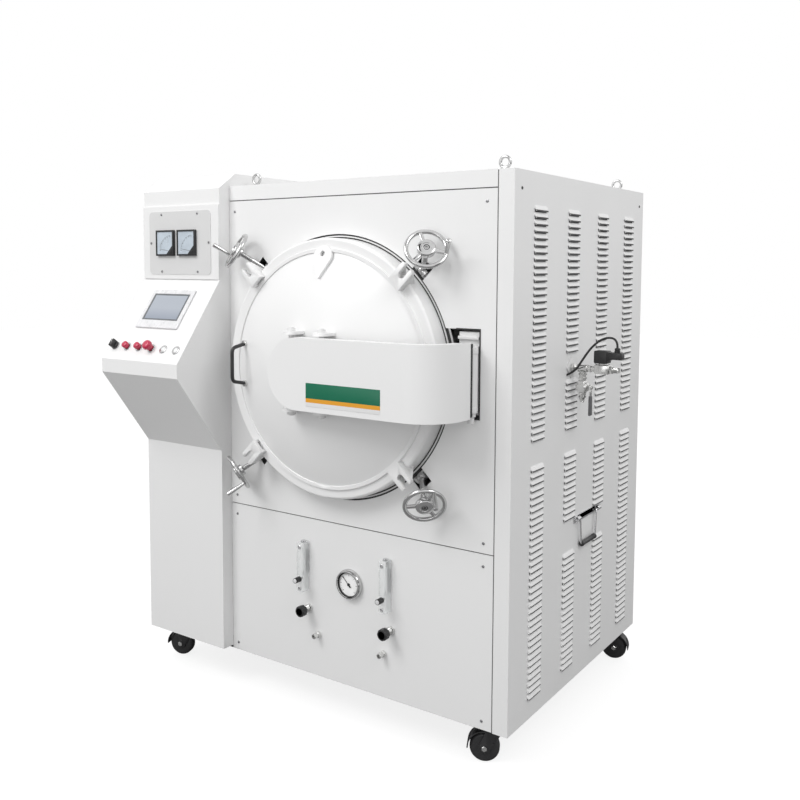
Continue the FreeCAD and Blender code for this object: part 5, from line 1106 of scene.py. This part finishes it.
# Casters: softened forks and wheels with bright axle bolts; each place is x, y and the trail's angle
caster = {"places": {"front_left": (-262, 62, 200), "front_right": (893, 62, 205),
                     "rear_left": (-262, 858, 20), "rear_right": (893, 858, 15)},
          "axle": -68.0, "trail": 26.0, "plate": 20.6, "head": 8.4}
for where, (x, y, trail) in caster["places"].items():
    forkNode, wheelNode = "caster_fork_" + where, "caster_wheel_" + where
    finish(copyOf(forkNode, 0.0008, 2, 30), "caster_fork_cover_" + where, forkNode + "_body",
           blackPaint, replaces=[forkNode], angle=35)
    finish(copyOf(wheelNode, 0.0022, 3, 40), "caster_tyre_" + where, wheelNode + "_body",
           tread, replaces=[wheelNode], angle=40)
    angle = math.radians(trail)
    behind = Vector((math.cos(angle), math.sin(angle), 0))
    sideways = Vector((-behind.y, behind.x, 0))
    axle = Vector((x, y, caster["axle"])) + behind * caster["trail"]
    bolts = []
    for out in (sideways, -sideways):
        end = turned([(caster["head"], 0), (caster["head"], 2.4), (caster["head"] - 1.6, 3.6)], 6)
        end.matrix_world = Matrix((behind, out.cross(behind), out)).transposed().to_4x4()
        bolts.append(shift(end, axle + out * caster["plate"]))
    finish(joined(bolts), "caster_bolts_" + where, forkNode + "_body", brightSteel, local,
           angle=30)
print("casters")

# Round the door: the pale lip of the vessel's flange inside the gap, the brackets and the handle
lip = {"inner": 366.6, "outer": 370.4, "front": 1.4, "back": 6.0}
ringPiece = hollow(lip["outer"], lip["inner"], 0, lip["back"] - lip["front"], 160, 0.5)
finish(ringPiece, "flange_lip", "cabinet", hingePaint,
       onFront(door["x"], lip["back"], door["z"]), angle=30)
finish(copyOf("clamp_brackets", 0.0014, 3, 40), "bracket_castings", "door", doorPaint,
       replaces=["clamp_brackets"], angle=40)
finish(copyOf("hinge_bracket", 0.0008, 2, 40), "hinge_casting", "cabinet", hingePaint,
       replaces=["hinge_bracket"], angle=40)
pull = {"radius": 292.0, "rod": 5.4, "stand": 56.0, "feet": 59.0, "reach": 48.0, "bend": 14.0}
pullX = door["x"] - pull["radius"]
pullY = (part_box("door_handle")[0][1] - foot.y) / mm + pull["rod"]
feetY = pullY + pull["stand"]
route = [(pullX, feetY, door["z"] - pull["feet"]), (pullX, pullY, door["z"] - pull["reach"]),
         (pullX, pullY, door["z"] + pull["reach"]), (pullX, feetY, door["z"] + pull["feet"])]
finish(bar(rounded(route, pull["bend"]), pull["rod"], 16), "door_pull", "door", black,
       local, ["door_handle"], 50)
cups = []
for z in (-pull["feet"], pull["feet"]):
    cup = aimed(turned([(9.6, -6), (9.6, 7.5), (8.6, 9.2), (6.2, 9.8)], 28), "-y")
    cups.append(shift(cup, (pullX, feetY, door["z"] + z)))
finish(joined(cups), "door_pull_feet", "door", brightSteel, local, angle=40)

# Black strips round the hinge pocket and on the shroud's free edge, in the seal rubber's material: painted
# shade of the gaps there
gapShadeStrips = {"left": 800.0, "right": 870.0, "bottom": 812.0, "top": 1041.0, "wide": 3.6, "proud": 1.6,
          "shroud": (4.4, 10.0, 186.0), "shroudAt": (863.0, -31.6, 914.0)}
long, tall = gapShadeStrips["right"] - gapShadeStrips["left"], gapShadeStrips["top"] - gapShadeStrips["bottom"]
middleX, middleZ = gapShadeStrips["left"] + long / 2, gapShadeStrips["bottom"] + tall / 2
y = -gapShadeStrips["proud"] / 2
strips = [block((long, gapShadeStrips["proud"], gapShadeStrips["wide"]), (middleX, y, z), 0.5)
          for z in (gapShadeStrips["top"], gapShadeStrips["bottom"])]
strips.append(block((gapShadeStrips["wide"], gapShadeStrips["proud"], tall + gapShadeStrips["wide"]), (gapShadeStrips["right"], y, middleZ),
                    0.5))
finish(joined(strips), "pocket_shade_strips", "cabinet", rubber, local)
finish(block(gapShadeStrips["shroud"], gapShadeStrips["shroudAt"], 1.2, 2), "shroud_shade_strip", "door", rubber,
       local)
print("door surround")

# Needle valve bonnets, plain gas nozzles, and barbed inlets at the back
gas = {"bonnets": (310, 601), "bonnetZ": 199.0, "nozzles": (346, 577), "nozzleZ": 127.1,
       "inlets": (700, 780), "inletZ": 250.0}
fittings = []
for x in gas["bonnets"]:
    body = joined([hexNut(22.0, 7.0),
                   turned([(8.2, 6)] + thread(8.6, 7, 18, 1.5)[1:] + [(8.2, 18.2), (7.4, 18.6), (7.4, 21)],
                          24), shift(hexNut(15.6, 5.0), (0, 0, 20.6))])
    fittings.append(shift(aimed(body, "-y"), (x, 0, gas["bonnetZ"])))
for x in gas["nozzles"]:
    body = turned([(6.6, 9), (6.6, 10.6), (7.6, 11.2), (7.6, 24.2), (6.6, 25.6)], 28)
    cut(body, turned([(3.9, 12), (3.9, 30)], 24))
    body = joined([hexNut(17.4, 10.0), body])
    fittings.append(shift(aimed(body, "-y"), (x, 0, gas["nozzleZ"])))
for x in gas["inlets"]:
    body = turned([(7.4, 10), (7.4, 14), (6.2, 14.6), (7.6, 18), (6.2, 20.6), (7.6, 24), (6.2, 26.6),
                   (7.2, 29.4), (5.9, 32)], 28)
    cut(body, turned([(4.9, 14), (4.9, 40)], 24))
    body = joined([hexNut(21.0, 12.0), body])
    fittings.append(shift(aimed(body, "y"), (x, cabinet["rear"], gas["inletZ"])))
finish(joined(fittings), "gas_unions", "cabinet", brightSteel, local, ["gas_fittings"], 35)
print("gas fittings")
